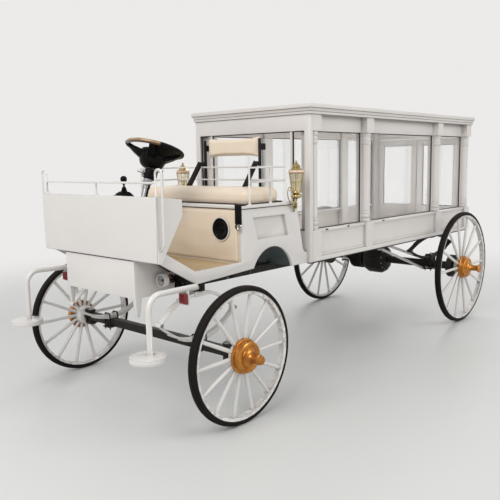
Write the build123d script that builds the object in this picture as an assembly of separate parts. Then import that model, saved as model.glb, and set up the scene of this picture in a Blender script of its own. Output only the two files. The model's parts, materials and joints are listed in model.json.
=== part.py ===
"""Glass-sided hearse carriage with a driver's bench, a steering wheel and spoked wheels.

Millimetres. X runs forward, Y to the left, Z up. While it is drawn, X = 0 is the rear axle and
Z = 0 is the ground. The finished pieces are moved so that the origin is the middle of the footprint.
"""

import os
from math import asin, atan2, cos, degrees, pi, radians, sin

from build123d import *

# Wheels
WHEELBASE = 2980.0
FRONT_WHEEL_R = 400.0
REAR_WHEEL_R = 500.0
FRONT_WHEEL_Y = 797.0
REAR_WHEEL_Y = 770.0
TYRE_DEPTH = 30.0
TYRE_WIDTH = 50.0
TYRE_SHOULDER = 13.0
RIM_DEPTH = 18.0
RIM_WIDTH = 46.0
RIM_BEVEL = 5.0
SPOKES = 14
SPOKE_ROOT_R = 12.5
SPOKE_TIP_R = 11.0
SPOKE_SINK = 5.0
NAVE_R = 66.0
NAVE_IN = 55.0
NAVE_OUT = 18.0
NAVE_BEVEL = 12.0
HUB_R = 102.0
HUB_FLANGE_T = 12.0
HUB_DRUM_R = 90.0
HUB_DRUM_REACH = 64.0
HUB_NECK_R = 27.0
HUB_WALL = 12.0
HUB_STEP = 2.0
FRONT_HUB_REACH = 155.0
REAR_HUB_REACH = 171.0
FRONT_CAP_R = 24.0
REAR_CAP_R = 36.0
SPINDLE_R = 20.0
SPINDLE_COLLAR = 8.0
SPINDLE_NUT = 20.0
END_PLAY = 0.5
RUNNING_FIT = 0.08

# Glass case, heights added up from its bottom
CASE_TO_FRONT_AXLE = 963.0
CASE_REAR_OUT = 615.0
CASE_HALF_W = 561.0
CASE_BOTTOM_Z = 782.0
CASE_FLOOR_T = 30.0
SILL_H = 190.0
GLASS_H = 686.0
FRIEZE_H = 112.0
CORNICE_H = 69.0
CORNICE_OUT = 24.0
ROOF_BOARD_T = 18.0
PANEL_T = 26.0
PANEL_SET_BACK = 22.0
FRIEZE_SET_BACK = 50.0
MOULDING_H = 18.0
MOULDING_OUT = 10.0
GLASS_T = 5.0
GLASS_SET_BACK = 62.0
POST_W = 100.0
RING_R = 46.0
MID_POST_X = 1240.0
REAR_MID_POST_X = 45.0
FRONT_WALL_T = 37.0
FRONT_STILE_W = 47.0
SIDE_LIGHT_W = 119.0
MULLION_W = 18.0
MULLION_SET_BACK = 6.0
DECK_T = 15.0
DECK_GAP = 6.0

# Rear doors
DOOR_GAP = 6.0
DOOR_T = 30.0
DOOR_STILE = 60.0
DOOR_PANEL_SET_BACK = 8.0
HINGE_R = 7.0
HINGE_PIN_R = 4.0
HINGE_LEAF_T = 3.0
HINGE_LEAF_W = 40.0
HINGE_KNUCKLE_H = 30.0
HINGE_END_H = 14.0
HINGE_PLAY = 1.0
HINGE_MARGIN = 85.0
HANDLE_R = 6.0
HANDLE_OUT = 16.0
HANDLE_FOOT = 1.0
HANDLE_L = 110.0

# Driver's part, lengths from the front axle
SEAT_FRONT_BACK = 296.0
SEAT_DEPTH = 543.0
BODY_HALF_W = 540.0
BODY_SIDE_T = 22.0
FLOOR_TOP_Z = 855.0
FLOOR_BOARD_T = 20.0
SIDE_LIP = 14.0
SEAT_BOARD_Z = 1200.0
SEAT_BOARD_T = 19.0
SEAT_BOARD_OUT = 10.0
SEAT_BACK_T = 18.0
CUSHION_FRONT_IN = 57.0
CUSHION_BACK_IN = 117.0
CUSHION_SIDE_IN = 20.0
CUSHION_T = 104.0
CUSHION_CORNER_R = 30.0
RISER_T = 20.0
RISER_PAD_T = 14.0
RISER_PAD_MARGIN = 13.0
SOFT_GAP = 0.3
FLARE_R = 58.0
FLARE_Z = 912.0
ARCH_BACK = 590.0
ARCH_R = 208.0
ARCH_Z = 730.0
LINER_T = 6.0
BELLY_REAR_Z = 826.0
BELLY_FRONT_Z = 793.0
RECESS_DEPTH = 7.0
RECESS_TOP_DROP = 62.0
RECESS_H = 142.0
RECESS_FRONT_IN = 106.0
RECESS_BACK_IN = 126.0
RECESS_LEAN = 40.0
STRAP_W = 32.0
STRAP_T = 16.0
STRAP_L = 112.0
BUCKLE_R = 17.0

# Dash and locker
DASH_FRONT_OUT = 396.0
DASH_HALF_W = 568.0
DASH_TOP_Z = 1311.0
DASH_H = 360.0
DASH_DEPTH = 185.0
DASH_TOP_SLOPE = 22.0
DASH_LIP_H = 89.0
DASH_FOOT_DEPTH = 29.0
TOE_FOOT_OUT = 100.0
TOE_TOP_BACK = 63.0
TOE_TOP_UP = 55.0
LOCKER_HALF_W = 345.0
LOCKER_H = 221.0
LOCKER_BACK_OUT = 92.0
LOCKER_SET_BACK = 10.0
LUG_W = 24.0
LUG_H = 110.0
DASH_EDGE_R = 8.0

# Frame and springs
RAIL_Y = 320.0
RAIL_W = 46.0
RAIL_H = 50.0
RAIL_FRONT_OUT = 80.0
RAIL_REAR_IN = 20.0
CROSS_W = 40.0
CROSS_REAR_IN = 55.0
CROSS_MID_X = 600.0
CROSS_FRONT_OUT = 33.0
OUTRIGGER_OUTS = (-250.0, -80.0, 50.0)
LEAF_W = 44.0
LEAF_T = 7.0
LEAVES = 3
LEAF_SHORTER = 0.26
EYE_R = 14.0
CLAMP_L = 90.0
CLAMP_EDGE = 6.0
FRONT_SPRING_IN = 74.0
FRONT_SPRING_HALF = 300.0
REAR_SPRING_Y = 462.0
REAR_SPRING_HALF = 400.0
SPRING_SEAT = 6.0
REAR_PAD_H = 22.0

# Axles and steering
BEAM_W = 50.0
BEAM_H = 51.0
BEAM_DROP = 22.0
KINGPIN_Y = 680.0
KINGPIN_R = 12.0
KINGPIN_BOSS_R = 26.0
KINGPIN_BOSS_H = 60.0
FORK_GAP = 6.0
FORK_T = 16.0
FORK_CLEAR = 5.0
YOKE_T = 20.0
YOKE_W = 48.0
FORK_W = 44.0
STEER_ARM = 160.0
ARM_T = 12.0
TIE_PIN_R = 8.0
TIE_ROD_R = 10.0
TIE_EYE_R = 22.0
TIE_EYE_H = 18.0
SLEEVE_Y = 150.0
SLEEVE_L = 90.0
OPEN_PIN_GAP = 5.5
AXLE_TUBE_R = 35.0
BRAKE_DRUM_R = 102.0
BRAKE_DRUM_W = 50.0
GEAR_CASE_R = 140.0
GEAR_CASE_Y = -108.0
GEAR_CASE_HALF = 122.0
MOTOR_R = 105.0
MOTOR_L = 141.0
RADIUS_ROD_R = 12.0
RADIUS_ROD_L = 740.0
RADIUS_ROD_Y = 395.0
ROD_LUG_T = 15.0
ROD_LUG_H = 60.0
COLUMN_R = 20.0
COLUMN_SHAFT_R = 10.0
COLUMN_L = 780.0
SHROUD_R = 50.0
SHROUD_H = 70.0
HELM_BACK = 81.0
HELM_Z = 1575.0
HELM_R = 189.0
HELM_RIM_R = 14.0
HELM_DISH = 26.0
HELM_HUB_R = 86.0
HELM_FOOT_R = 54.0
HELM_HUB_H = 112.0
HELM_FOOT_H = 44.0
HELM_SPOKE_W = 38.0
HELM_SPOKE_T = 22.0
HELM_TILT = 19.0
STALK_R = 6.0
STALK_L = 110.0

# Steps, lamps and rails
STEP_TUBE_R = 16.0
STEP_BEND_Z = 806.0
STEP_ARM_Y = 592.0
STEP_LEAD = 60.0
STEP_BENDS = (40.0, 60.0, 80.0)
PAD_R = 98.0
PAD_OUT = 530.0
PAD_Y = 621.0
PAD_TOP_Z = 491.0
PAD_T = 26.0
HEAD_LAMP_OUT = 244.0
HEAD_LAMP_Y = 400.0
HEAD_LAMP_Z = 822.0
HEAD_LAMP_R = 38.0
HEAD_LAMP_L = 90.0
MARKER_OUT = 236.0
MARKER_W = 60.0
MARKER_H = 60.0
MARKER_T = 22.0
MARKER_BACK_T = 5.0
MARKER_EDGE = 4.0
LAMP_R = 51.0
LAMP_H = 127.0
LAMP_Z = 1278.0
LAMP_IN = 25.0
LAMP_OUT = 21.0
LAMP_ARM_DOWN = 100.0
RAIL_ROD_R = 6.0
GALLERY_LOW = 141.0
GALLERY_HIGH = 230.0
GALLERY_BEND = 60.0
GALLERY_FRONT_IN = 84.0
GALLERY_BACK_IN = 81.0
GALLERY_EDGE = 8.0
GALLERY_STEP = 200.0
GALLERY_BACK_Y = 200.0
DASH_RAIL_UP = 72.0
DASH_HOOP_UP = 143.0
DASH_HOOP_IN = 24.0
DASH_HOOP_OUT = 28.0
DASH_RAIL_IN = 24.0
SIDE_BAR_UP = 70.0
BACKREST_HALF_W = 262.0
BACKREST_H = 158.0
BACKREST_T = 56.0
BACKREST_UP = 289.0
BACKREST_IN = 10.0
BRACKET_GAP = 2.5
BRACKET_T = 10.0
BRACKET_LEG_W = 22.0
BRACKET_BRIDGE_H = 30.0
BRACKET_BRACE_W = 28.0
BRACKET_FOOT_IN = 309.0
SPEAKER_IN = 147.0
SPEAKER_UP = 214.0
SPEAKER_R = 66.0
LEVER_BACK = 146.0
LEVER_Y = 102.0
LEVER_KNOB_R = 20.0
LEVER_H = 86.0
BOOT_L = 74.0
BOOT_W = 110.0
BOOT_H = 34.0
BOOT_TAPER = 28.0

# Places that follow from the sizes above
CASE_FRONT_X = WHEELBASE - CASE_TO_FRONT_AXLE
CASE_REAR_X = -CASE_REAR_OUT
WALL_BACK_X = CASE_FRONT_X - FRONT_WALL_T
DECK_Z = CASE_BOTTOM_Z + CASE_FLOOR_T
SILL_Z = DECK_Z + SILL_H
FRIEZE_Z = SILL_Z + GLASS_H
CORNICE_Z = FRIEZE_Z + FRIEZE_H
ROOF_Z = CORNICE_Z + CORNICE_H
POST_Y = CASE_HALF_W - POST_W / 2
INNER_Y = CASE_HALF_W - POST_W
SEAT_FRONT_X = WHEELBASE - SEAT_FRONT_BACK
SEAT_BACK_X = SEAT_FRONT_X - SEAT_DEPTH
BODY_IN_Y = BODY_HALF_W - BODY_SIDE_T
FRONT_SPRING_Y = BODY_IN_Y - FRONT_SPRING_IN
SPEAKER_Y = BODY_IN_Y - SPEAKER_IN
SEAT_TOP_Z = SEAT_BOARD_Z + SEAT_BOARD_T
FLOOR_LOW_Z = FLOOR_TOP_Z - FLOOR_BOARD_T
DASH_FRONT_X = WHEELBASE + DASH_FRONT_OUT
DASH_BACK_X = DASH_FRONT_X - DASH_DEPTH
DASH_BOTTOM_Z = DASH_TOP_Z - DASH_H
DASH_FOOT = (DASH_FRONT_X - DASH_FOOT_DEPTH, DASH_BOTTOM_Z)
TOE_TOP = (DASH_FRONT_X - TOE_TOP_BACK, DASH_BOTTOM_Z + TOE_TOP_UP)
TOE_FOOT_X = WHEELBASE + TOE_FOOT_OUT
LOCKER_BACK_X = WHEELBASE + LOCKER_BACK_OUT
LOCKER_BOTTOM_Z = DASH_BOTTOM_Z - LOCKER_H
RAIL_TOP_Z = CASE_BOTTOM_Z
RAIL_LOW_Z = RAIL_TOP_Z - RAIL_H
PAD_X = WHEELBASE + PAD_OUT
BEAM_TOP_Z = FRONT_WHEEL_R - BEAM_DROP + BEAM_H
FORK_H = KINGPIN_BOSS_H / 2 + FORK_GAP + FORK_T
TIE_Z = FRONT_WHEEL_R - FORK_H - TIE_EYE_H / 2 - FORK_GAP
HELM_X = WHEELBASE - HELM_BACK
ORIGIN_X = ((PAD_X + PAD_R) + (CASE_REAR_X - CORNICE_OUT)) / 2

# Turned outlines. Columns: radius taken off the ring's, height from the end of the post
POST_RINGS = ((4, 0), (0, 10), (0, 24), (8, 32), (2, 42), (2, 54), (6, 64))
# Columns: radius, height from the lamp's lower rim
LAMP_BASE = ((0, -108), (5, -108), (5, -42), (16, -40), (30, -32), (30, -16), (20, -8), (34, 0))
# Columns: radius, height from the top of the lamp's glass
LAMP_CROWN = ((53, 2), (53, 18), (34, 27), (24, 36), (27, 46), (15, 60), (6, 67), (8, 75), (0, 83))
# Columns: share of the gear case's radius, share of its half length
GEAR_CASE = ((0.57, -1.0), (0.86, -0.78), (1.0, -0.5), (1.0, 0.5), (0.86, 0.78), (0.57, 1.0))
# Columns: low edge, high edge, overhang at the low edge and at the high edge, as shares of the cornice's own
ROOF_TIERS = ((0.0, 0.28, 0.4, 0.4), (0.28, 0.6, 0.4, 0.75), (0.6, 1.0, 1.0, 1.0))
# Columns: crossmember's place, its reach past the rails
CROSSMEMBERS = (
    (CASE_REAR_X + CROSS_REAR_IN, 0),
    (CROSS_MID_X, 0),
    (2 * CROSS_MID_X + 5 * CROSS_W, 0),
    (CASE_FRONT_X + CROSS_FRONT_OUT, 0),
    (WHEELBASE, FRONT_SPRING_Y + LEAF_W - RAIL_Y),
)
OUTRIGGER_XS = [WHEELBASE + out for out in OUTRIGGER_OUTS]


def block(x0, x1, y0, y1, z0, z1):
    """A box by its limits."""
    middle = Pos((x0 + x1) / 2, (y0 + y1) / 2, (z0 + z1) / 2)
    return middle * Box(abs(x1 - x0), abs(y1 - y0), abs(z1 - z0))


def side_face(points, *more):
    """A face drawn in side view from (X, Z) points, closed by further edges where they are given."""
    if not more:
        return make_face(Polyline(*points, close=True))
    return make_face([*Polyline(*points).edges(), *(e.edge() for e in more)])


def side_plate(face, y0, y1):
    """A plate from a face or from points in side view, from Y = y0 to Y = y1."""
    if isinstance(face, list):
        face = side_face(face)
    return Plane.XZ.offset(-y0) * extrude(face, -(y1 - y0))


def turned(points, x, y):
    """A piece turned about the upright axis at x, y from (radius, height) points."""
    return Pos(x, y, 0) * revolve(make_face(Plane.XZ * Polyline(*points, close=True)), Axis.Z)


def turned_y(points, x, y, z, side):
    """A piece turned about the cross axis at x, y, z from (radius, outward) points."""
    outline = make_face(Polyline(*[(r, side * out) for r, out in points], close=True))
    return Pos(x, y, z) * revolve(outline, Axis.Y)


def round_bar(points, radius, bends):
    """A round bar along a route with rounded corners."""
    path = FilletPolyline(*points, radius=bends)
    return sweep(Plane(origin=path @ 0, z_dir=path % 0) * Circle(radius), path=path)


def rod(a, b, radius):
    """A straight round rod from a to b."""
    a, b = Vector(*a), Vector(*b)
    return extrude(Plane(origin=a, z_dir=b - a) * Circle(radius), (b - a).length)


def both_sides(piece):
    """A piece and its mirror image across the middle of the carriage."""
    return [piece, mirror(piece, Plane.XZ)]


def joined(pieces):
    """All pieces of a list in one solid."""
    whole = pieces[0]
    for piece in pieces[1:]:
        whole += piece
    return whole


def save(name, *pieces):
    """Write the solids of one sub-part, seen from the middle of the footprint."""
    solids = [s for piece in pieces for s in piece.solids()]
    moved = [s.moved(Location((-ORIGIN_X, 0, 0))) for s in solids]
    export_step(Compound(moved) if len(moved) > 1 else moved[0], f"parts/{name}.step")


def make_post(x):
    """One post of the case: pedestal, turned column before a flat stile, and head block."""
    half = POST_W / 2
    y = (POST_Y - half, POST_Y + half)
    stile_y = CASE_HALF_W - GLASS_SET_BACK + DECK_GAP
    rings = [(RING_R - less, up) for less, up in POST_RINGS]
    outline = [(0, SILL_Z)] + [(r, SILL_Z + up) for r, up in rings]
    outline += [(r, FRIEZE_Z - up) for r, up in rings[::-1]] + [(0, FRIEZE_Z)]
    return joined([
        block(x - half, x + half, *y, DECK_Z, SILL_Z),
        block(x - half, x + half, y[0], stile_y, SILL_Z, FRIEZE_Z),
        turned(outline, x, POST_Y),
        block(x - half, x + half, *y, FRIEZE_Z, CORNICE_Z),
    ])


def save_case():
    """The glass case: floor, deck, lower panels, posts, frieze, front wall, roof and panes."""
    half = POST_W / 2
    post_xs = (WALL_BACK_X - half, MID_POST_X, REAR_MID_POST_X, CASE_REAR_X + half)
    save("case_floor", block(CASE_REAR_X, WALL_BACK_X, -CASE_HALF_W, CASE_HALF_W, CASE_BOTTOM_Z, DECK_Z))
    deck_y = INNER_Y - DECK_GAP
    deck_xs = (CASE_REAR_X + DOOR_T + DECK_GAP, WALL_BACK_X - DECK_GAP)
    save("bier_deck", block(*deck_xs, -deck_y, deck_y, DECK_Z, DECK_Z + DECK_T))
    save("case_posts", *[p for x in post_xs for p in both_sides(make_post(x))])

    panel_y = CASE_HALF_W - PANEL_SET_BACK
    rim_y = panel_y + MOULDING_OUT
    frieze_y = CASE_HALF_W - FRIEZE_SET_BACK
    glass_y = CASE_HALF_W - GLASS_SET_BACK
    panels, friezes, panes = [], [], []
    for i in range(len(post_xs) - 1):
        bay = (post_xs[i + 1] + half, post_xs[i] - half)
        panels += both_sides(joined([
            block(*bay, panel_y - PANEL_T, panel_y, DECK_Z, SILL_Z),
            block(*bay, frieze_y - PANEL_T, rim_y, SILL_Z - MOULDING_H, SILL_Z),
            block(*bay, panel_y - PANEL_T, rim_y, DECK_Z, DECK_Z + MOULDING_H),
        ]))
        friezes += both_sides(block(*bay, frieze_y - PANEL_T, frieze_y, FRIEZE_Z, CORNICE_Z))
        panes += both_sides(block(*bay, glass_y - GLASS_T, glass_y, SILL_Z, FRIEZE_Z))
    friezes.append(block(CASE_REAR_X, CASE_REAR_X + PANEL_T, -INNER_Y, INNER_Y, FRIEZE_Z, CORNICE_Z))
    save("case_side_panels", *panels)
    save("case_frieze", *friezes)
    save("side_glass", *panes)

    window_y = CASE_HALF_W - FRONT_STILE_W
    mullion_y = window_y - SIDE_LIGHT_W
    wall = block(WALL_BACK_X, CASE_FRONT_X, -CASE_HALF_W, CASE_HALF_W, CASE_BOTTOM_Z, CORNICE_Z)
    wall -= block(WALL_BACK_X - 1, CASE_FRONT_X + 1, -window_y, window_y, SILL_Z, FRIEZE_Z)
    bar_xs = (WALL_BACK_X + MULLION_SET_BACK, CASE_FRONT_X - MULLION_SET_BACK)
    for y in (mullion_y, -mullion_y):
        wall += block(*bar_xs, y - MULLION_W / 2, y + MULLION_W / 2, SILL_Z, FRIEZE_Z)
    save("case_front_wall", wall)
    pane_x = (WALL_BACK_X + CASE_FRONT_X) / 2
    pane_xs = (pane_x - GLASS_T / 2, pane_x + GLASS_T / 2)
    inner = mullion_y - MULLION_W / 2
    side_pane = block(*pane_xs, mullion_y + MULLION_W / 2, window_y, SILL_Z, FRIEZE_Z)
    save("front_glass", block(*pane_xs, -inner, inner, SILL_Z, FRIEZE_Z), *both_sides(side_pane))

    tiers = []
    for low, high, low_out, high_out in ROOF_TIERS:
        out = CORNICE_OUT * low_out
        height = (high - low) * CORNICE_H
        slope = degrees(atan2(CORNICE_OUT * (high_out - low_out), height))
        place = Pos((CASE_REAR_X + CASE_FRONT_X) / 2, 0, CORNICE_Z + low * CORNICE_H)
        sheet = Rectangle(CASE_FRONT_X - CASE_REAR_X + 2 * out, 2 * (CASE_HALF_W + out))
        tiers.append(extrude(place * sheet, height, taper=-slope))
    hollow_xs = (CASE_REAR_X + POST_W, WALL_BACK_X - POST_W)
    roof = joined(tiers) - block(*hollow_xs, -INNER_Y, INNER_Y, CORNICE_Z - 1, ROOF_Z - ROOF_BOARD_T)
    save("case_roof", roof)


def save_rear_doors():
    """Two glazed doors in the rear wall, hinged at the rear posts, with a pull on each."""
    bottom, top = DECK_Z + DOOR_GAP, FRIEZE_Z - DOOR_GAP
    pin_x = CASE_REAR_X - HINGE_R - HINGE_PLAY
    pin_y = INNER_Y - DOOR_GAP / 2
    hinge_zs = (bottom + HINGE_MARGIN, (bottom + top) / 2, top - HINGE_MARGIN)
    knuckle_z = HINGE_KNUCKLE_H / 2
    end_z = knuckle_z + HINGE_PLAY + HINGE_END_H / 2
    leaf_x = (CASE_REAR_X - HINGE_LEAF_T, CASE_REAR_X)
    fixed = []
    for name, side in (("left", 1), ("right", -1)):
        y0, y1 = sorted((side * (INNER_Y - DOOR_GAP), side * DOOR_GAP / 2))
        door = block(CASE_REAR_X, CASE_REAR_X + DOOR_T, y0, y1, bottom, top)
        light = (y0 + DOOR_STILE, y1 - DOOR_STILE, SILL_Z, top - DOOR_STILE)
        door -= block(CASE_REAR_X - 1, CASE_REAR_X + DOOR_T + 1, *light)
        door -= block(CASE_REAR_X - 1, CASE_REAR_X + DOOR_PANEL_SET_BACK, *light[:2],
                      bottom + DOOR_STILE, SILL_Z - DOOR_STILE)
        door_leaf_y = (side * (pin_y - HINGE_LEAF_T), side * (pin_y - HINGE_LEAF_W))
        post_leaf_y = (side * (pin_y + HINGE_LEAF_T), side * (pin_y + HINGE_LEAF_W))
        for z in hinge_zs:
            hinge = Pos(pin_x, side * pin_y, z)
            door += block(*leaf_x, *door_leaf_y, z - knuckle_z, z + knuckle_z)
            door += hinge * Cylinder(HINGE_R, HINGE_KNUCKLE_H)
            door -= hinge * Cylinder(HINGE_PIN_R + RUNNING_FIT, 2 * HINGE_KNUCKLE_H)
            pin = hinge * Cylinder(HINGE_PIN_R, 2 * end_z + HINGE_END_H)
            for s in (1, -1):
                end_zs = (z + s * end_z - HINGE_END_H / 2, z + s * end_z + HINGE_END_H / 2)
                pin += hinge * Pos(0, 0, s * end_z) * Cylinder(HINGE_R, HINGE_END_H)
                pin += block(*leaf_x, *post_leaf_y, *end_zs)
            fixed.append(pin)
        pull_x, pull_y = CASE_REAR_X - HANDLE_OUT, side * (DOOR_GAP / 2 + DOOR_STILE / 2)
        pull_z = (SILL_Z - HANDLE_L / 2, SILL_Z + HANDLE_L / 2)
        foot_x = CASE_REAR_X + HANDLE_FOOT
        route = [(x, pull_y, z) for x, z in zip((foot_x, pull_x, pull_x, foot_x), sorted(2 * pull_z))]
        door += round_bar(route, HANDLE_R, 2 * HANDLE_R)
        save(f"door_{name}", door)
        mid_x = CASE_REAR_X + DOOR_T / 2
        save(f"door_glass_{name}", block(mid_x - GLASS_T / 2, mid_x + GLASS_T / 2, *light))
    save("door_hinges", *fixed)


def seat_back_edge(forward):
    """The seat box's rear edge in side view, moved forward: slanted, then curved into the case front."""
    r = FLARE_R + forward
    low, foot = (CASE_FRONT_X + r, FLARE_Z), (CASE_FRONT_X, FLARE_Z - r)
    mid = (CASE_FRONT_X + r * cos(pi / 4), FLARE_Z - r * sin(pi / 4))
    return [Line((SEAT_BACK_X + forward, SEAT_BOARD_Z), low), ThreePointArc(low, mid, foot)]


def save_driver_body():
    """Side plates, floor, seat box, arch, bench, dash and locker."""
    arch_x = WHEELBASE - ARCH_BACK
    arch = rod((arch_x, -CASE_HALF_W, ARCH_Z), (arch_x, CASE_HALF_W, ARCH_Z), ARCH_R)
    lip_z = FLOOR_TOP_Z + SIDE_LIP
    outline = side_face(
        [
            (CASE_FRONT_X, FLARE_Z - FLARE_R), (CASE_FRONT_X, CASE_BOTTOM_Z), (arch_x, CASE_BOTTOM_Z),
            (arch_x, BELLY_REAR_Z), (LOCKER_BACK_X, BELLY_FRONT_Z), DASH_FOOT, TOE_TOP, (TOE_FOOT_X, lip_z),
            (SEAT_FRONT_X, lip_z), (SEAT_FRONT_X, SEAT_BOARD_Z), (SEAT_BACK_X, SEAT_BOARD_Z),
        ],
        *seat_back_edge(0),
    )
    plate = side_plate(outline, BODY_IN_Y, BODY_HALF_W) - arch
    recess_top = SEAT_BOARD_Z - RECESS_TOP_DROP
    recess_front, recess_back = SEAT_FRONT_X - RECESS_FRONT_IN, SEAT_BACK_X + RECESS_BACK_IN
    plate -= side_plate(
        [
            (recess_front, recess_top), (recess_back, recess_top),
            (recess_back - RECESS_LEAN, recess_top - RECESS_H),
            (recess_front - RECESS_LEAN, recess_top - RECESS_H),
        ],
        BODY_HALF_W - RECESS_DEPTH, BODY_HALF_W + 1,
    )
    save("body_sides", *both_sides(plate))
    back = side_face([(CASE_FRONT_X, FLARE_Z - FLARE_R), (CASE_FRONT_X, FLARE_Z - FLARE_R - SEAT_BACK_T)],
                     *seat_back_edge(0), *seat_back_edge(SEAT_BACK_T),
                     Line((SEAT_BACK_X, SEAT_BOARD_Z), (SEAT_BACK_X + SEAT_BACK_T, SEAT_BOARD_Z)))
    save("seat_back_panel", side_plate(back, -BODY_IN_Y, BODY_IN_Y))
    liner = rod((arch_x, -BODY_IN_Y, ARCH_Z), (arch_x, BODY_IN_Y, ARCH_Z), ARCH_R + LINER_T) - arch
    liner_xs = (arch_x - 2 * ARCH_R, arch_x + 2 * ARCH_R)
    save("arch_liner", liner - block(*liner_xs, -CASE_HALF_W, CASE_HALF_W, 0, CASE_BOTTOM_Z))

    edge = Vector(*DASH_FOOT) - Vector(*TOE_TOP)
    toe_end = Vector(*TOE_TOP) + edge * (FLOOR_BOARD_T * 0.74 / edge.length)
    toe_end = (toe_end.X, toe_end.Y)
    floor = block(SEAT_FRONT_X, TOE_FOOT_X, -BODY_IN_Y, BODY_IN_Y, FLOOR_LOW_Z, FLOOR_TOP_Z)
    toe = [(TOE_FOOT_X, FLOOR_LOW_Z), (TOE_FOOT_X, FLOOR_TOP_Z), TOE_TOP, toe_end]
    floor += side_plate(toe, -BODY_IN_Y, BODY_IN_Y)
    save("foot_floor", floor)
    riser_xs = (SEAT_FRONT_X - RISER_T, SEAT_FRONT_X)
    save("seat_riser", block(*riser_xs, -BODY_IN_Y, BODY_IN_Y, FLOOR_TOP_Z, SEAT_BOARD_Z))
    pad_x = SEAT_FRONT_X + SOFT_GAP
    pad_y = BODY_IN_Y - RISER_PAD_MARGIN
    pad_zs = (FLOOR_TOP_Z + RISER_PAD_MARGIN, SEAT_BOARD_Z - RISER_PAD_MARGIN)
    pad = block(pad_x, pad_x + RISER_PAD_T, -pad_y, pad_y, *pad_zs)
    speaker = ((SEAT_FRONT_X, SPEAKER_Y, FLOOR_TOP_Z + SPEAKER_UP),
               (pad_x + RISER_PAD_T + 4, SPEAKER_Y, FLOOR_TOP_Z + SPEAKER_UP))
    pad = fillet(pad.edges().filter_by(Axis.X), CUSHION_CORNER_R / 2)
    save("riser_pad", pad - rod(*speaker, SPEAKER_R + SOFT_GAP))
    cone = rod((speaker[1][0] - 6, *speaker[0][1:]), (speaker[1][0] + 1, *speaker[0][1:]), SPEAKER_R - 8)
    save("speaker", rod(*speaker, SPEAKER_R) - cone)

    wide, front = BODY_HALF_W + SEAT_BOARD_OUT, SEAT_FRONT_X + SEAT_BOARD_OUT
    save("seat_board", block(SEAT_BACK_X, front, -wide, wide, SEAT_BOARD_Z, SEAT_TOP_Z))
    half = BODY_HALF_W - CUSHION_SIDE_IN
    z = SEAT_TOP_Z + SOFT_GAP
    cushion_xs = (SEAT_BACK_X + CUSHION_BACK_IN, SEAT_FRONT_X - CUSHION_FRONT_IN)
    cushion = block(*cushion_xs, -half, half, z, z + CUSHION_T)
    cushion = fillet(cushion.edges().filter_by(Axis.Z), CUSHION_CORNER_R)
    slot_x = SEAT_BACK_X + BRACKET_FOOT_IN + BRACKET_T
    slot_y = BACKREST_HALF_W + BRACKET_GAP + BRACKET_T / 2
    for y in (slot_y, -slot_y):
        cushion -= block(SEAT_BACK_X, slot_x, y - BRACKET_T, y + BRACKET_T, z - 1, z + CUSHION_T + 1)
    save("seat_cushion", cushion)
    strap_y = (BODY_HALF_W - STRAP_W, BODY_HALF_W)
    low = SEAT_TOP_Z - STRAP_L
    strap = block(SEAT_FRONT_X - STRAP_W, front + STRAP_T, *strap_y, SEAT_TOP_Z, SEAT_TOP_Z + STRAP_T / 2)
    strap += block(front, front + STRAP_T, *strap_y, low, SEAT_TOP_Z)
    ring = Pos(front + STRAP_T / 2, BODY_HALF_W - STRAP_W / 2, low - BUCKLE_R) * Rot(0, 90, 0)
    ring *= Torus(BUCKLE_R, STRAP_T / 4)
    save("seat_strap", strap + ring)

    save("dash_box", make_dash())
    locker_x = DASH_FRONT_X - LOCKER_SET_BACK
    locker = side_plate(
        [
            (locker_x, LOCKER_BOTTOM_Z), (locker_x, DASH_BOTTOM_Z), DASH_FOOT, toe_end,
            (TOE_FOOT_X, FLOOR_LOW_Z), (LOCKER_BACK_X, FLOOR_LOW_Z), (LOCKER_BACK_X, LOCKER_BOTTOM_Z),
        ],
        -LOCKER_HALF_W, LOCKER_HALF_W,
    )
    for y in (LOCKER_HALF_W - LUG_W, -LOCKER_HALF_W):
        locker += side_plate(
            [
                (locker_x, LOCKER_BOTTOM_Z), (locker_x - 2 * LUG_W, LOCKER_BOTTOM_Z),
                (locker_x - 1.2 * LUG_W, LOCKER_BOTTOM_Z - LUG_H),
                (locker_x - 0.4 * LUG_W, LOCKER_BOTTOM_Z - LUG_H),
            ],
            y, y + LUG_W,
        )
    save("front_locker", locker)


def make_dash():
    """The dash: a broad box that leans back over the driver's feet."""
    dash = side_plate(
        [
            (DASH_FRONT_X, DASH_BOTTOM_Z), (DASH_FRONT_X, DASH_TOP_Z),
            (DASH_BACK_X, DASH_TOP_Z - DASH_TOP_SLOPE),
            (DASH_BACK_X, DASH_TOP_Z - DASH_TOP_SLOPE - DASH_LIP_H), TOE_TOP, DASH_FOOT,
        ],
        -DASH_HALF_W, DASH_HALF_W,
    )
    return fillet(dash.edges().group_by(Axis.X)[-1], DASH_EDGE_R)


def make_leaf(x, y, z_mid, rise, half, order):
    """One leaf of a bowed pack, counted outward from the main leaf, its middle at z_mid."""
    span = half * (1 - LEAF_SHORTER * order)
    bow_r = (half ** 2 + rise ** 2) / (2 * abs(rise))
    up = 1 if rise > 0 else -1
    z_centre = z_mid - up * bow_r
    angle = asin(span / bow_r)
    arcs = []
    for r in (bow_r + order * LEAF_T, bow_r + (order + 1) * LEAF_T):
        ends = [(x + s * r * sin(angle), z_centre + up * r * cos(angle)) for s in (-1, 1)]
        arcs.append(ThreePointArc(ends[0], (x, z_centre + up * r), ends[1]))
    lines = [Line(arcs[0] @ i, arcs[1] @ i) for i in (0, 1)]
    face = make_face([e.edge() for e in (*arcs, *lines)])
    return side_plate(face, y - LEAF_W / 2, y + LEAF_W / 2)


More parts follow.
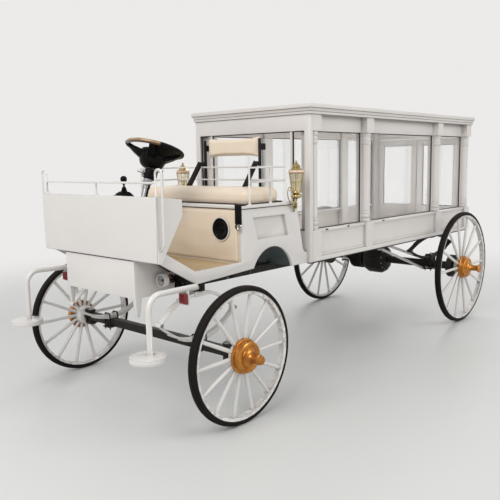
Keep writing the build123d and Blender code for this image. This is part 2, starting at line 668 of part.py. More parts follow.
def save_spring(name, x, y, low, seat, half):
    """A pair of springs, each of two bowed packs from eye to eye, between axle and frame."""
    pack = LEAVES * LEAF_T
    z_low, z_top = low + pack, seat - SPRING_SEAT - pack
    rise = (z_top - z_low) / 2
    z_eye = z_low + rise
    edge = LEAF_W / 2 + CLAMP_EDGE
    pieces = []
    for order in range(LEAVES):
        pieces.append(make_leaf(x, y, z_top, rise, half, order))
        pieces.append(make_leaf(x, y, z_low, -rise, half, order))
    for eye_x in (x + half, x - half):
        pieces.append(rod((eye_x, y - LEAF_W / 2, z_eye), (eye_x, y + LEAF_W / 2, z_eye), EYE_R))
    clamp = (x - CLAMP_L / 2, x + CLAMP_L / 2, y - edge, y + edge)
    pieces.append(block(*clamp, z_top - CLAMP_EDGE, seat))
    pieces.append(block(*clamp, low, z_low + CLAMP_EDGE))
    save(name, *both_sides(joined(pieces)))


def save_running_gear():
    """Frame, springs, axles, drive and radius rods."""
    rail_xs = (CASE_REAR_X + RAIL_REAR_IN, WHEELBASE + RAIL_FRONT_OUT)
    frame = []
    for y in (RAIL_Y, -RAIL_Y):
        frame.append(block(*rail_xs, y - RAIL_W / 2, y + RAIL_W / 2, RAIL_LOW_Z, RAIL_TOP_Z))
    for x, past in CROSSMEMBERS:
        reach = RAIL_Y + past
        frame.append(block(x - CROSS_W / 2, x + CROSS_W / 2, -reach, reach, RAIL_LOW_Z, RAIL_TOP_Z))
    for x in OUTRIGGER_XS:
        frame.append(block(x - CROSS_W / 2, x + CROSS_W / 2, -BODY_IN_Y, BODY_IN_Y, RAIL_TOP_Z, FLOOR_LOW_Z))
    save("chassis_frame", joined(frame))

    rear_seat = REAR_WHEEL_R + AXLE_TUBE_R + REAR_PAD_H
    save_spring("front_springs", WHEELBASE, FRONT_SPRING_Y, BEAM_TOP_Z, RAIL_LOW_Z, FRONT_SPRING_HALF)
    save_spring("rear_springs", 0, REAR_SPRING_Y, rear_seat, CASE_BOTTOM_Z, REAR_SPRING_HALF)

    beam_y = KINGPIN_Y - KINGPIN_BOSS_R / 2
    beam_xs = (WHEELBASE - BEAM_W / 2, WHEELBASE + BEAM_W / 2)
    beam = block(*beam_xs, -beam_y, beam_y, BEAM_TOP_Z - BEAM_H, BEAM_TOP_Z)
    for y in (KINGPIN_Y, -KINGPIN_Y):
        beam += Pos(WHEELBASE, y, FRONT_WHEEL_R) * Cylinder(KINGPIN_BOSS_R, KINGPIN_BOSS_H)
        beam -= Pos(WHEELBASE, y, FRONT_WHEEL_R) * Cylinder(KINGPIN_R + RUNNING_FIT, 2 * KINGPIN_BOSS_H)
    save("front_axle", beam)

    z = REAR_WHEEL_R
    drum_y = REAR_WHEEL_Y - NAVE_IN - FORK_CLEAR
    tube = rod((0, -drum_y, z), (0, drum_y, z), AXLE_TUBE_R)
    case = [(0, -GEAR_CASE_HALF)] + [(r * GEAR_CASE_R, at * GEAR_CASE_HALF) for r, at in GEAR_CASE]
    axle = [tube, turned_y(case + [(0, GEAR_CASE_HALF)], 0, GEAR_CASE_Y, z, 1)]
    for side in (1, -1):
        axle.append(rod((0, side * (drum_y - BRAKE_DRUM_W), z), (0, side * drum_y, z), BRAKE_DRUM_R))
        axle.append(spindle(0, side, REAR_WHEEL_Y, z, drum_y - FORK_CLEAR))
        y = side * REAR_SPRING_Y
        axle.append(block(-CLAMP_L / 2, CLAMP_L / 2, y - LEAF_W / 2, y + LEAF_W / 2, z, rear_seat))
        y = side * RADIUS_ROD_Y
        axle.append(block(-ROD_LUG_T, ROD_LUG_T, y - ROD_LUG_T, y + ROD_LUG_T, z - ROD_LUG_H, z + ROD_LUG_H))
    save("rear_axle", joined(axle))
    motor_y = GEAR_CASE_Y - GEAR_CASE_HALF
    save("drive_motor", rod((0, motor_y - MOTOR_L, z), (0, motor_y, z), MOTOR_R) - tube)

    rods = []
    rail_out = RAIL_Y + RAIL_W / 2
    for side in (1, -1):
        bracket_z = (RAIL_TOP_Z - RADIUS_ROD_R, RAIL_LOW_Z - RADIUS_ROD_R)
        arm = [block(RADIUS_ROD_L - ROD_LUG_T, RADIUS_ROD_L + ROD_LUG_T, side * rail_out,
                     side * (rail_out + 2 * ROD_LUG_T), bracket_z[1] - ROD_LUG_T, RAIL_TOP_Z)]
        for s, z_rail in ((1, bracket_z[0]), (-1, bracket_z[1])):
            z_axle = z + s * (ROD_LUG_H - RADIUS_ROD_R)
            at_axle = (ROD_LUG_T, side * RADIUS_ROD_Y, z_axle)
            at_rail = (RADIUS_ROD_L, side * (rail_out + ROD_LUG_T), z_rail)
            arm.append(rod(at_axle, at_rail, RADIUS_ROD_R))
        rods.append(joined(arm) - block(-ROD_LUG_T, ROD_LUG_T, -CASE_HALF_W, CASE_HALF_W, 0, RAIL_TOP_Z))
    save("radius_rods", *rods)


def spindle(x, side, wheel_y, z, start_y):
    """The stub that carries one wheel, with its shoulder and end nut."""
    inner = wheel_y - NAVE_IN - END_PLAY
    outer = wheel_y + NAVE_OUT + END_PLAY
    end = outer + SPINDLE_NUT
    collar = SPINDLE_R + SPINDLE_COLLAR
    stub = rod((x, side * start_y, z), (x, side * end, z), SPINDLE_R)
    stub += rod((x, side * start_y, z), (x, side * inner, z), collar)
    return stub + rod((x, side * outer, z), (x, side * end, z), collar)


def save_steering():
    """Knuckles on kingpins, the tie rod behind the axle, the column and the steering wheel."""
    x, z = WHEELBASE, FRONT_WHEEL_R
    low = z - FORK_H
    arm_x = x - STEER_ARM
    fork_xs = (x - FORK_W / 2, x + FORK_W / 2)
    yoke_in = KINGPIN_Y + KINGPIN_BOSS_R + FORK_CLEAR
    yoke = (yoke_in, yoke_in + YOKE_T)
    yoke_xs = (x - YOKE_W / 2, x + YOKE_W / 2)
    for name, side in (("left", 1), ("right", -1)):
        y = side * KINGPIN_Y
        knuckle = [Pos(x, y, z) * Cylinder(KINGPIN_R, 2 * FORK_H)]
        for s in (1, -1):
            z_mid = z + s * (FORK_H - FORK_T / 2)
            knuckle.append(Pos(x, y, z_mid) * Cylinder(KINGPIN_BOSS_R, FORK_T))
            knuckle.append(block(*fork_xs, y, side * yoke[1], z_mid - FORK_T / 2, z_mid + FORK_T / 2))
        knuckle.append(block(*yoke_xs, side * yoke[0], side * yoke[1], low, z + FORK_H))
        knuckle.append(spindle(x, side, FRONT_WHEEL_Y, z, yoke[1] - FORK_CLEAR))
        knuckle.append(block(arm_x, x, y - ARM_T, y + ARM_T, low, low + ARM_T))
        knuckle.append(Pos(arm_x, y, low + ARM_T / 2) * Cylinder(2 * TIE_PIN_R, ARM_T))
        pin_low = TIE_Z - TIE_EYE_H / 2 - END_PLAY
        knuckle.append(rod((arm_x, y, pin_low), (arm_x, y, low + ARM_T / 2), TIE_PIN_R))
        save(f"knuckle_{name}", joined(knuckle))

    tie = rod((arm_x, -KINGPIN_Y + TIE_ROD_R, TIE_Z), (arm_x, KINGPIN_Y - TIE_ROD_R, TIE_Z), TIE_ROD_R)
    tie += rod((arm_x, SLEEVE_Y, TIE_Z), (arm_x, SLEEVE_Y + SLEEVE_L, TIE_Z), 1.6 * TIE_ROD_R)
    for y, play in ((KINGPIN_Y, RUNNING_FIT), (-KINGPIN_Y, OPEN_PIN_GAP)):
        tie += Pos(arm_x, y, TIE_Z) * Cylinder(TIE_EYE_R, TIE_EYE_H)
        tie -= Pos(arm_x, y, TIE_Z) * Cylinder(TIE_PIN_R + play, 2 * TIE_EYE_H)
    save("tie_rod", tie)

    tilt = radians(HELM_TILT)
    up, across = (-sin(tilt), 0, cos(tilt)), (cos(tilt), 0, sin(tilt))
    axis = Plane(origin=(HELM_X, 0, HELM_Z), z_dir=up, x_dir=across)
    rim_r = HELM_R - HELM_RIM_R
    hub_low = -HELM_DISH - HELM_HUB_H
    wall_low = hub_low + HELM_FOOT_H
    spoke = side_plate(
        [
            (HELM_FOOT_R, wall_low), (HELM_HUB_R, wall_low), (rim_r, -HELM_SPOKE_T / 2),
            (rim_r, HELM_SPOKE_T / 2), (HELM_HUB_R, -HELM_DISH), (HELM_FOOT_R, -HELM_DISH),
        ],
        -HELM_SPOKE_W / 2, HELM_SPOKE_W / 2,
    )
    bowl = turned(
        [
            (0, hub_low), (HELM_FOOT_R, hub_low),
            ((HELM_FOOT_R + 2 * HELM_HUB_R) / 3, hub_low + HELM_FOOT_H / 3),
            (HELM_HUB_R, wall_low), (HELM_HUB_R, -HELM_DISH), (0, -HELM_DISH),
        ],
        0, 0,
    )
    helm = [Torus(rim_r, HELM_RIM_R), bowl]
    helm += [Rot(0, 0, a) * spoke for a in (45, 135, 225, 315)]
    bore = Pos(0, 0, hub_low) * Cylinder(COLUMN_SHAFT_R + RUNNING_FIT, HELM_HUB_H)
    save("steering_wheel", axis * (joined(helm) - bore))
    shroud_top = hub_low - FORK_GAP
    shroud_mid = shroud_top - SHROUD_H / 2
    shaft_top = hub_low + HELM_HUB_H / 2 - END_PLAY
    column = [
        rod((0, 0, -COLUMN_L), (0, 0, shroud_mid), COLUMN_R),
        rod((0, 0, shroud_mid), (0, 0, shaft_top), COLUMN_SHAFT_R),
        Pos(0, 0, shroud_mid) * Cone(0.8 * SHROUD_R, SHROUD_R, SHROUD_H),
    ]
    for s in (1, -1):
        column.append(rod((0, 0, shroud_mid), (0, s * (SHROUD_R + STALK_L), shroud_mid + STALK_R), STALK_R))
    below = side_plate([(0, 0), (DASH_FRONT_X, 0), TOE_TOP, (TOE_FOOT_X, FLOOR_TOP_Z), (0, FLOOR_TOP_Z)],
                       -DASH_HALF_W, DASH_HALF_W)
    save("steering_column", axis * joined(column) - below)


def save_bench_fittings():
    """Gallery rail, backrest, its brackets and the carriage lamps."""
    r, y = RAIL_ROD_R, BODY_HALF_W - GALLERY_EDGE
    front, back = SEAT_FRONT_X - GALLERY_FRONT_IN, SEAT_BACK_X + GALLERY_BACK_IN
    rail = []
    for up in (GALLERY_LOW, GALLERY_HIGH):
        z = SEAT_TOP_Z + up
        rail.append(round_bar([(front, y, z), (back, y, z), (back, -y, z), (front, -y, z)], r, GALLERY_BEND))
    for x, post_y in ((front, y), (front - GALLERY_STEP, y), (back, GALLERY_BACK_Y)):
        for s in (1, -1):
            rail.append(rod((x, s * post_y, SEAT_TOP_Z), (x, s * post_y, SEAT_TOP_Z + GALLERY_HIGH + r), r))
    save("seat_rail", joined(rail))

    pad_x, pad_z = SEAT_BACK_X + BACKREST_IN, SEAT_TOP_Z + BACKREST_UP
    pad = block(pad_x, pad_x + BACKREST_T, -BACKREST_HALF_W, BACKREST_HALF_W, pad_z, pad_z + BACKREST_H)
    save("backrest_pad", fillet(pad.edges().filter_by(Axis.Y), CUSHION_CORNER_R * 0.8))
    inner_y = BACKREST_HALF_W + BRACKET_GAP
    leg_y = (inner_y, inner_y + BRACKET_T)
    leg_x = (back - 2 * r - BRACKET_LEG_W, back - 2 * r)
    brace_x = (back + 2 * r, back + 2 * r + BRACKET_BRACE_W)
    bridge_z = SEAT_TOP_Z + GALLERY_HIGH + 1.5 * r
    bridge_top = bridge_z + BRACKET_BRIDGE_H
    foot = SEAT_BACK_X + BRACKET_FOOT_IN
    bracket = block(*leg_x, *leg_y, SEAT_TOP_Z, pad_z + BACKREST_H - BRACKET_LEG_W)
    bracket += block(leg_x[0], brace_x[1], *leg_y, bridge_z, bridge_top)
    brace = [(brace_x[0], bridge_top), (brace_x[1], bridge_top), (foot, SEAT_TOP_Z)]
    bracket += side_plate(brace + [(foot - BRACKET_BRACE_W, SEAT_TOP_Z)], *leg_y)
    strip_x, strip_z = pad_x - BRACKET_T, pad_z + BACKREST_H / 2
    strip_zs = (strip_z - BRACKET_LEG_W, strip_z + BRACKET_LEG_W)
    bracket += block(strip_x, leg_x[1], *leg_y, *strip_zs)
    bracket += block(strip_x, pad_x - SOFT_GAP, inner_y - 3 * BRACKET_LEG_W, leg_y[1], *strip_zs)
    save("backrest_brackets", *both_sides(bracket))

    lamp_x, lamp_y = SEAT_BACK_X + LAMP_IN, BODY_HALF_W + LAMP_OUT
    outline = [(r, LAMP_Z + up) for r, up in LAMP_BASE] + [(LAMP_R, LAMP_Z + LAMP_H)]
    outline += [(r, LAMP_Z + LAMP_H + up) for r, up in LAMP_CROWN]
    arm_z = LAMP_Z - LAMP_ARM_DOWN
    arm = rod((lamp_x, BODY_HALF_W, arm_z), (lamp_x, lamp_y, arm_z), STALK_R)
    plate = rod((lamp_x, BODY_HALF_W, arm_z), (lamp_x, BODY_HALF_W + CLAMP_EDGE, arm_z), 3 * STALK_R)
    save("carriage_lamps", *both_sides(joined([turned(outline, lamp_x, lamp_y), arm, plate])))


def save_front_fittings():
    """Steps, lamps, dash rail and lever."""
    start = (WHEELBASE + CROSS_W / 2, FRONT_SPRING_Y + LEAF_W / 2, (RAIL_LOW_Z + RAIL_TOP_Z) / 2)
    foot_x = PAD_X - STEP_TUBE_R
    tube = round_bar(
        [
            start, (start[0] + STEP_LEAD, *start[1:]),
            (start[0] + 2 * STEP_LEAD, STEP_ARM_Y, STEP_BEND_Z - STEP_TUBE_R / 2),
            (foot_x, PAD_Y, STEP_BEND_Z), (foot_x, PAD_Y, PAD_TOP_Z - PAD_T / 4),
        ],
        STEP_TUBE_R, STEP_BENDS,
    )
    pad = Pos(PAD_X, PAD_Y, PAD_TOP_Z - PAD_T / 2) * Cylinder(PAD_R, PAD_T)
    save("steps", *both_sides(tube + pad))
    marker_x = WHEELBASE + MARKER_OUT
    y0, top = STEP_ARM_Y - MARKER_W / 2, STEP_BEND_Z - 2 * STEP_TUBE_R
    marker = block(marker_x, marker_x + MARKER_T, y0, y0 + MARKER_W, top - MARKER_H, top)
    plate_y = (y0 - MARKER_EDGE, y0 + MARKER_W + MARKER_EDGE)
    plate_low = top - MARKER_H - 2 * MARKER_EDGE
    marker += block(marker_x - MARKER_BACK_T, marker_x, *plate_y, plate_low, STEP_BEND_Z)
    save("marker_lamps", *both_sides(marker - tube))

    y, z = HEAD_LAMP_Y, HEAD_LAMP_Z
    front = WHEELBASE + HEAD_LAMP_OUT
    shell = front - HEAD_LAMP_L * 0.4
    head = [
        rod((shell, y, z), (front, y, z), HEAD_LAMP_R),
        rod((front - HEAD_LAMP_L, y, z), (shell, y, z), 0.68 * HEAD_LAMP_R),
        block(front - HEAD_LAMP_L, shell, LOCKER_HALF_W, y, z - STALK_R, z + STALK_R),
    ]
    save("head_lamps", *both_sides(joined(head)))

    dash = make_dash()
    x, r = DASH_FRONT_X - DASH_RAIL_IN, RAIL_ROD_R
    z = DASH_TOP_Z + DASH_RAIL_UP
    hoop_z, side_z = DASH_TOP_Z + DASH_HOOP_UP, DASH_BOTTOM_Z + SIDE_BAR_UP
    in_y, out_y = DASH_HALF_W - DASH_HOOP_IN, DASH_HALF_W + DASH_HOOP_OUT
    rail = [rod((x, -in_y, z), (x, in_y, z), r), rod((x, 0, DASH_TOP_Z - DASH_TOP_SLOPE), (x, 0, z), r)]
    for s in (1, -1):
        rail.append(round_bar(
            [
                (x, s * in_y, DASH_TOP_Z - DASH_TOP_SLOPE),
                (x, s * in_y, hoop_z),
                (x, s * out_y, hoop_z),
                (x, s * out_y, side_z + DASH_HOOP_OUT),
                (x, s * in_y, side_z - DASH_HOOP_IN),
            ],
            r, [24, 24, 30],
        ))
    save("dash_rail", joined(rail) - dash)
    lever_x = DASH_FRONT_X - LEVER_BACK
    base = (lever_x, LEVER_Y, DASH_TOP_Z - 2 * DASH_TOP_SLOPE)
    knob = (lever_x, LEVER_Y, DASH_TOP_Z + LEVER_H)
    boot = Pos(lever_x, LEVER_Y, DASH_TOP_Z - DASH_TOP_SLOPE) * Rectangle(BOOT_L, BOOT_W)
    boot = extrude(boot, BOOT_H + DASH_TOP_SLOPE, taper=BOOT_TAPER)
    save("control_lever", joined([boot, rod(base, knob, STALK_R), Pos(*knob) * Sphere(LEVER_KNOB_R)]) - dash)


def save_wheel(name, x, y, radius, reach, cap_r):
    """One wheel: tyre, spoked wheel and hub, all turning together."""
    side = 1 if y > 0 else -1
    rim_r = radius - TYRE_DEPTH
    w = TYRE_WIDTH / 2
    shoulder = radius - TYRE_SHOULDER
    tread = w - TYRE_SHOULDER
    tyre = [(rim_r, -w), (shoulder, -w), (radius, -tread), (radius, tread), (shoulder, w), (rim_r, w)]
    save(f"tyre_{name}", turned_y(tyre, x, y, radius, side))
    w = RIM_WIDTH / 2
    felloe_r = rim_r - RIM_DEPTH
    bore = SPINDLE_R + RUNNING_FIT
    wheel = [
        turned_y(
            [(rim_r, -w), (rim_r, w), (felloe_r, w - RIM_BEVEL), (felloe_r, RIM_BEVEL - w)],
            x, y, radius, side,
        ),
        turned_y(
            [
                (bore, -NAVE_IN), (NAVE_R - NAVE_BEVEL, -NAVE_IN), (NAVE_R, NAVE_BEVEL - NAVE_IN),
                (NAVE_R, NAVE_OUT), (bore, NAVE_OUT),
            ],
            x, y, radius, side,
        ),
    ]
    root = NAVE_R - SPOKE_SINK
    length = felloe_r + SPOKE_SINK - root
    for i in range(SPOKES):
        a = 2 * pi * i / SPOKES
        foot = Plane(origin=(x + root * cos(a), y, radius + root * sin(a)), z_dir=(cos(a), 0, sin(a)))
        wheel.append(foot * Pos(0, 0, length / 2) * Cone(SPOKE_ROOT_R, SPOKE_TIP_R, length))
    save(f"wheel_{name}", joined(wheel))
    room = SPINDLE_R + SPINDLE_COLLAR + FORK_CLEAR
    drum = NAVE_OUT + HUB_FLANGE_T
    inside = NAVE_OUT + SPINDLE_NUT + FORK_CLEAR
    neck = HUB_DRUM_REACH + (reach - HUB_DRUM_REACH) / 3
    save(f"hub_{name}", turned_y(
        [
            (0, inside), (room, inside), (room, NAVE_OUT), (HUB_R, NAVE_OUT), (HUB_R, drum),
            (HUB_DRUM_R, drum + HUB_STEP), (HUB_DRUM_R - HUB_STEP, HUB_DRUM_REACH - HUB_WALL),
            (HUB_DRUM_R - HUB_WALL, HUB_DRUM_REACH),
            ((HUB_DRUM_R + HUB_NECK_R) / 2, HUB_DRUM_REACH + HUB_WALL / 2), (HUB_NECK_R, neck),
            (HUB_NECK_R * 0.9, reach - 2 * HUB_WALL), (cap_r, reach - HUB_WALL / 2),
            (cap_r - HUB_WALL / 3, reach), (0, reach),
        ],
        x, y, radius, side,
    ))


def main():
    os.makedirs("parts", exist_ok=True)
    save_case()
    save_rear_doors()
    save_driver_body()
    save_running_gear()
    save_steering()
    save_bench_fittings()
    save_front_fittings()
    for name, x, y, radius, reach, cap_r in (
        ("front_left", WHEELBASE, FRONT_WHEEL_Y, FRONT_WHEEL_R, FRONT_HUB_REACH, FRONT_CAP_R),
        ("front_right", WHEELBASE, -FRONT_WHEEL_Y, FRONT_WHEEL_R, FRONT_HUB_REACH, FRONT_CAP_R),
        ("rear_left", 0, REAR_WHEEL_Y, REAR_WHEEL_R, REAR_HUB_REACH, REAR_CAP_R),
        ("rear_right", 0, -REAR_WHEEL_Y, REAR_WHEEL_R, REAR_HUB_REACH, REAR_CAP_R),
    ):
        save_wheel(name, x, y, radius, reach, cap_r)


main()
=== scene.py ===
import json
import math

import bmesh
import bpy
from mathutils import Matrix, Vector
from mathutils.bvhtree import BVHTree


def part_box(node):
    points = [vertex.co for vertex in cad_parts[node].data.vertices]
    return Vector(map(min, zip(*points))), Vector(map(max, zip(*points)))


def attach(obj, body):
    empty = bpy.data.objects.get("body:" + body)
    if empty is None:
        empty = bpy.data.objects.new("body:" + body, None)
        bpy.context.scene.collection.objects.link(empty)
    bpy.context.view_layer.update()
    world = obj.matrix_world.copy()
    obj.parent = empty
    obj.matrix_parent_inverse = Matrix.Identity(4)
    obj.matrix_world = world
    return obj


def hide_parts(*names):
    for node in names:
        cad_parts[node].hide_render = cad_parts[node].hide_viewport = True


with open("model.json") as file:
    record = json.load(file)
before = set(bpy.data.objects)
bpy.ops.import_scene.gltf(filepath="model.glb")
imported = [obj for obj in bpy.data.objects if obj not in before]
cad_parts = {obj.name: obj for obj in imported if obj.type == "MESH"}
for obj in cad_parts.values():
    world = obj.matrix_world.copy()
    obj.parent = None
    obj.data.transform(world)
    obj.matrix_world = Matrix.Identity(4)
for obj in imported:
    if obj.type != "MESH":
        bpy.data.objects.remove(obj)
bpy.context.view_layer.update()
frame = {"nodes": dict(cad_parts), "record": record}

# %% [markdown]
# A white hearse carriage with glass sides, a bench for the driver and spoked wheels.
# The measured model is loaded above as a fixed frame. Everything below dresses that frame: its
# parts get soft edges and finishes, and finer pieces take the place of the plain ones.
# Places are read from the frame, so that a change of a part's size carries its dress with it.

# %% Names that the frame gives
MM = 0.001
MERGE_GAP, MEASURED_MERGE_GAP = 0.00002, 0.00001
SIDES = ((1, "left"), (-1, "right"))
record = frame["record"]
body_of_node = {n: b for b, nodes in record["behaviour"]["bodies"].items() for n in nodes}
slot_of_node = {s["node"]: s["material_slot"] for s in record["subparts"]}


def middle(node):
    """The middle of a part's box, and its size."""
    low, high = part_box(node)
    return (low + high) / 2, high - low


def mm(x, y, z):
    """A place or a step given in millimetres."""
    return Vector((x, y, z)) * MM


rear_axle_x = middle("tyre_rear_left")[0].x
front_axle_x = middle("tyre_front_left")[0].x
print("wheelbase", round(front_axle_x - rear_axle_x, 3))

# %% [markdown]
# Helpers for working on meshes as by hand. An operator acts on whatever is selected, so each
# helper first clears the selection. Faces and edges are then chosen by where they are.

# %% Selecting and finishing a mesh


def only(obj):
    """Make obj the one selected and active object."""
    if bpy.context.mode != "OBJECT":
        bpy.ops.object.mode_set(mode="OBJECT")
    bpy.ops.object.select_all(action="DESELECT")
    obj.select_set(True)
    bpy.context.view_layer.objects.active = obj


def edit(obj):
    """Open a mesh for editing, with all of it selected."""
    only(obj)
    bpy.ops.object.mode_set(mode="EDIT")
    bpy.ops.mesh.select_mode(type="VERT")
    bpy.ops.mesh.select_all(action="SELECT")


def end_edit():
    """Close the mesh that is open for editing."""
    bpy.ops.object.mode_set(mode="OBJECT")


def choose_faces(obj, test):
    """In edit mode, select the faces whose centre and normal pass the test."""
    bpy.ops.mesh.select_mode(type="FACE")
    bpy.ops.mesh.select_all(action="DESELECT")
    work = bmesh.from_edit_mesh(obj.data)
    for face in work.faces:
        face.select_set(bool(test(face.calc_center_median(), face.normal)))
    bmesh.update_edit_mesh(obj.data)


def push_out(step, resize, centre=None):
    """In edit mode, extrude what is selected by a step and resize its end."""
    bpy.ops.mesh.extrude_region_move(TRANSFORM_OT_translate={"value": step})
    if centre:
        bpy.ops.transform.resize(value=resize, center_override=centre)
    else:
        bpy.ops.transform.resize(value=resize)


def apply_modifiers(obj):
    """Apply every modifier of obj, in order."""
    only(obj)
    for modifier in list(obj.modifiers):
        bpy.ops.object.modifier_apply(modifier=modifier.name)


def add_wall(obj, thickness):
    """Give an open sheet a wall that grows inward."""
    wall = obj.modifiers.new("wall", "SOLIDIFY")
    wall.thickness, wall.offset = thickness * MM, -1.0
    apply_modifiers(obj)


def close_and_smooth(obj, angle=35):
    """Merge doubled points, turn the faces outward and smooth the shading up to an angle."""
    only(obj)
    bpy.ops.object.transform_apply(location=True, rotation=True, scale=True)
    edit(obj)
    bpy.ops.mesh.remove_doubles(threshold=MERGE_GAP)
    bpy.ops.mesh.normals_make_consistent(inside=False)
    end_edit()
    bpy.ops.object.shade_smooth_by_angle(angle=math.radians(angle))


def fit_out(obj, name, body, slot, finish_name=None, stands_for=()):
    """Name a finished piece, and give it its finish, its body and the parts it stands for."""
    obj.name = obj.data.name = name
    obj.data.materials.clear()
    obj.data.materials.append(FINISHES[finish_name or slot])
    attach(obj, body)
    if stands_for:
        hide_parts(*stands_for)
    return obj


def joined(pieces):
    """Join several pieces into the first one."""
    only(pieces[0])
    for piece in pieces[1:]:
        piece.select_set(True)
    bpy.ops.object.join()
    return bpy.context.object


def moved(piece, matrix):
    """Move a piece's mesh by a matrix."""
    piece.data.transform(matrix)
    return piece


def copied(obj, matrix):
    """A copy of obj with its own mesh, moved by a matrix."""
    twin = obj.copy()
    twin.data = obj.data.copy()
    bpy.context.scene.collection.objects.link(twin)
    return moved(twin, matrix)


def fitted(pieces, name, slot, finish_name=None, stands_for=(), body="carriage", angle=35, at=None):
    """Join the pieces of one fitting, put it in its place, smooth it and fit it out."""
    whole = joined([moved(piece, at) if at else piece for piece in pieces])
    close_and_smooth(whole, angle)
    return fit_out(whole, name, body, slot, finish_name, stands_for)


def second_finish(piece, finish_name, test):
    """Give the faces that pass the test another finish."""
    piece.data.materials.append(FINISHES[finish_name])
    for face in piece.data.polygons:
        if test(face.center, face.normal):
            face.material_index = len(piece.data.materials) - 1


# %% [markdown]
# Many parts of a carriage are turned on a lathe: hubs, columns, lamps. A circle is pushed up
# and widened ring by ring, which follows a list of radii and heights as a turner's template does.
# Spinning an outline would give the same form, but the ring way keeps both ends closed.

# %% A turned piece
Z_TO_X = Matrix.Rotation(math.pi / 2, 4, "Y")


def turned(profile, sides, ring=False, at=None):
    """A piece turned about Z from (radius, height) pairs in millimetres. A ring closes on itself."""
    profile = [(r * MM, h * MM) for r, h in profile]
    fill = "NOTHING" if ring else "NGON"
    bpy.ops.mesh.primitive_circle_add(
        vertices=sides, radius=profile[0][0], fill_type=fill, location=(0, 0, profile[0][1]))
    obj = bpy.context.object
    bpy.ops.object.transform_apply(location=True)
    edit(obj)
    route = profile + profile[:1] if ring else profile
    for (r1, h1), (r2, h2) in zip(route, route[1:]):
        push_out((0, 0, h2 - h1), (r2 / r1, r2 / r1, 1), (0, 0, h2))
    end_edit()
    return moved(obj, at) if at else obj


# %% [markdown]
# The measured parts come as loose triangles with knife edges. A merged copy of one, with its
# flat faces dissolved and its sharp edges rounded by a narrow bevel, catches the light along
# every edge as paint and metal do. The bevel's width is the only choice: wood gets more than steel.

# %% Softened copies of the measured parts


def softened(node, width, finish_name=None):
    """A merged copy of a part, with rounded edges of that width in millimetres, in its place."""
    piece = bpy.data.objects.new(node + "_dressed", frame["nodes"][node].data.copy())
    bpy.context.scene.collection.objects.link(piece)
    edit(piece)
    bpy.ops.mesh.remove_doubles(threshold=MEASURED_MERGE_GAP)
    bpy.ops.mesh.dissolve_limited(angle_limit=math.radians(0.4))
    end_edit()
    if width:
        bevel = piece.modifiers.new("edge", "BEVEL")
        bevel.width, bevel.segments, bevel.use_clamp_overlap = width * MM, 2, False
        bevel.limit_method, bevel.angle_limit = "ANGLE", math.radians(42)
        apply_modifiers(piece)
    bpy.ops.object.shade_smooth_by_angle(angle=math.radians(35))
    return fit_out(piece, node + "_dressed", body_of_node[node], slot_of_node[node], finish_name, [node])


# %% [markdown]
# Finishes. Paint, leather, rubber and metal share a few effects: an uneven coat, dust that
# settles on what faces up, painted shade in corners and a fine grain. Each effect is a node group,
# built once and placed in every finish with its own values. The shader itself stays in the finish.

# %% Colours as the eye sees them


def tint(red, green, blue):
    """A colour given as screen values, made linear for the shader."""
    channels = (c / 12.92 if c <= 0.04045 else ((c + 0.055) / 1.055) ** 2.4 for c in (red, green, blue))
    return (*channels, 1.0)


WARM_WHITE = tint(0.88, 0.862, 0.845)
CREAM = tint(0.93, 0.875, 0.80)
# Painted shade: the grey toward which the corners of white finishes darken.
CORNER_SHADE_COLOUR = tint(0.40, 0.37, 0.35)
DUST = (0.35, 0.32, 0.28, 1.0)
RUBBER_DUST = tint(0.27, 0.22, 0.19)
print("warm white", [round(channel, 3) for channel in WARM_WHITE])

# %% Shared effects as node groups
SHADE_REACH, GRAIN_STRENGTH, COAT_ROUGHNESS = 0.035, 0.6, 0.12


def wired(tree, node, **values):
    """Link or set a node's inputs by name, with _ for a space."""
    for label, value in values.items():
        socket = node.inputs[label.replace("_", " ")]
        if isinstance(value, bpy.types.NodeSocket):
            tree.links.new(value, socket)
        else:
            socket.default_value = value
    return node


def added(tree, kind, **values):
    """A new shader node, with its inputs linked or set."""
    return wired(tree, tree.nodes.new("ShaderNode" + kind), **values)


def effect(tree, group, **values):
    """A shared effect placed in a finish, with its own values."""
    node = tree.nodes.new("ShaderNodeGroup")
    node.node_tree = group
    return wired(tree, node, **values)


def math_node(tree, operation, a, b=None, clamp=False):
    """The result of a Math node with its inputs linked or set."""
    node = tree.nodes.new("ShaderNodeMath")
    node.operation, node.use_clamp = operation, clamp
    for socket, value in zip(node.inputs, (a, b)):
        if isinstance(value, bpy.types.NodeSocket):
            tree.links.new(value, socket)
        elif value is not None:
            socket.default_value = value
    return node.outputs[0]


def own_place(tree):
    """The place on the piece that is shaded."""
    return added(tree, "TexCoord").outputs["Object"]


def noise_on(tree, scale, detail, roughness=0.5):
    """Noise over the piece that is shaded."""
    node = added(tree, "TexNoise", Vector=own_place(tree), Scale=scale, Detail=detail, Roughness=roughness)
    return node.outputs["Fac"]


def new_group(name, inputs, outputs=("Mask",)):
    """A shader group: itself, what it is given, and the node that takes its results."""
    group = bpy.data.node_groups.new(name, "ShaderNodeTree")
    for label, default in inputs.items():
        socket = group.interface.new_socket(label, in_out="INPUT", socket_type="NodeSocketFloat")
        socket.default_value = default
    for label in outputs:
        group.interface.new_socket(label, in_out="OUTPUT", socket_type="NodeSocketFloat")
    return group, group.nodes.new("NodeGroupInput").outputs, group.nodes.new("NodeGroupOutput")


def build_uneven_coat():
    """A soft patchy mask, as brushed or sprayed coats have."""
    group, given, results = new_group("uneven_coat", {"Scale": 3.0, "Contrast": 1.0})
    centred = math_node(group, "SUBTRACT", noise_on(group, given["Scale"], 4.0, 0.6), 0.5)
    spread = math_node(group, "MULTIPLY", centred, given["Contrast"])
    wired(group, results, Mask=math_node(group, "ADD", spread, 0.5, clamp=True))
    return group


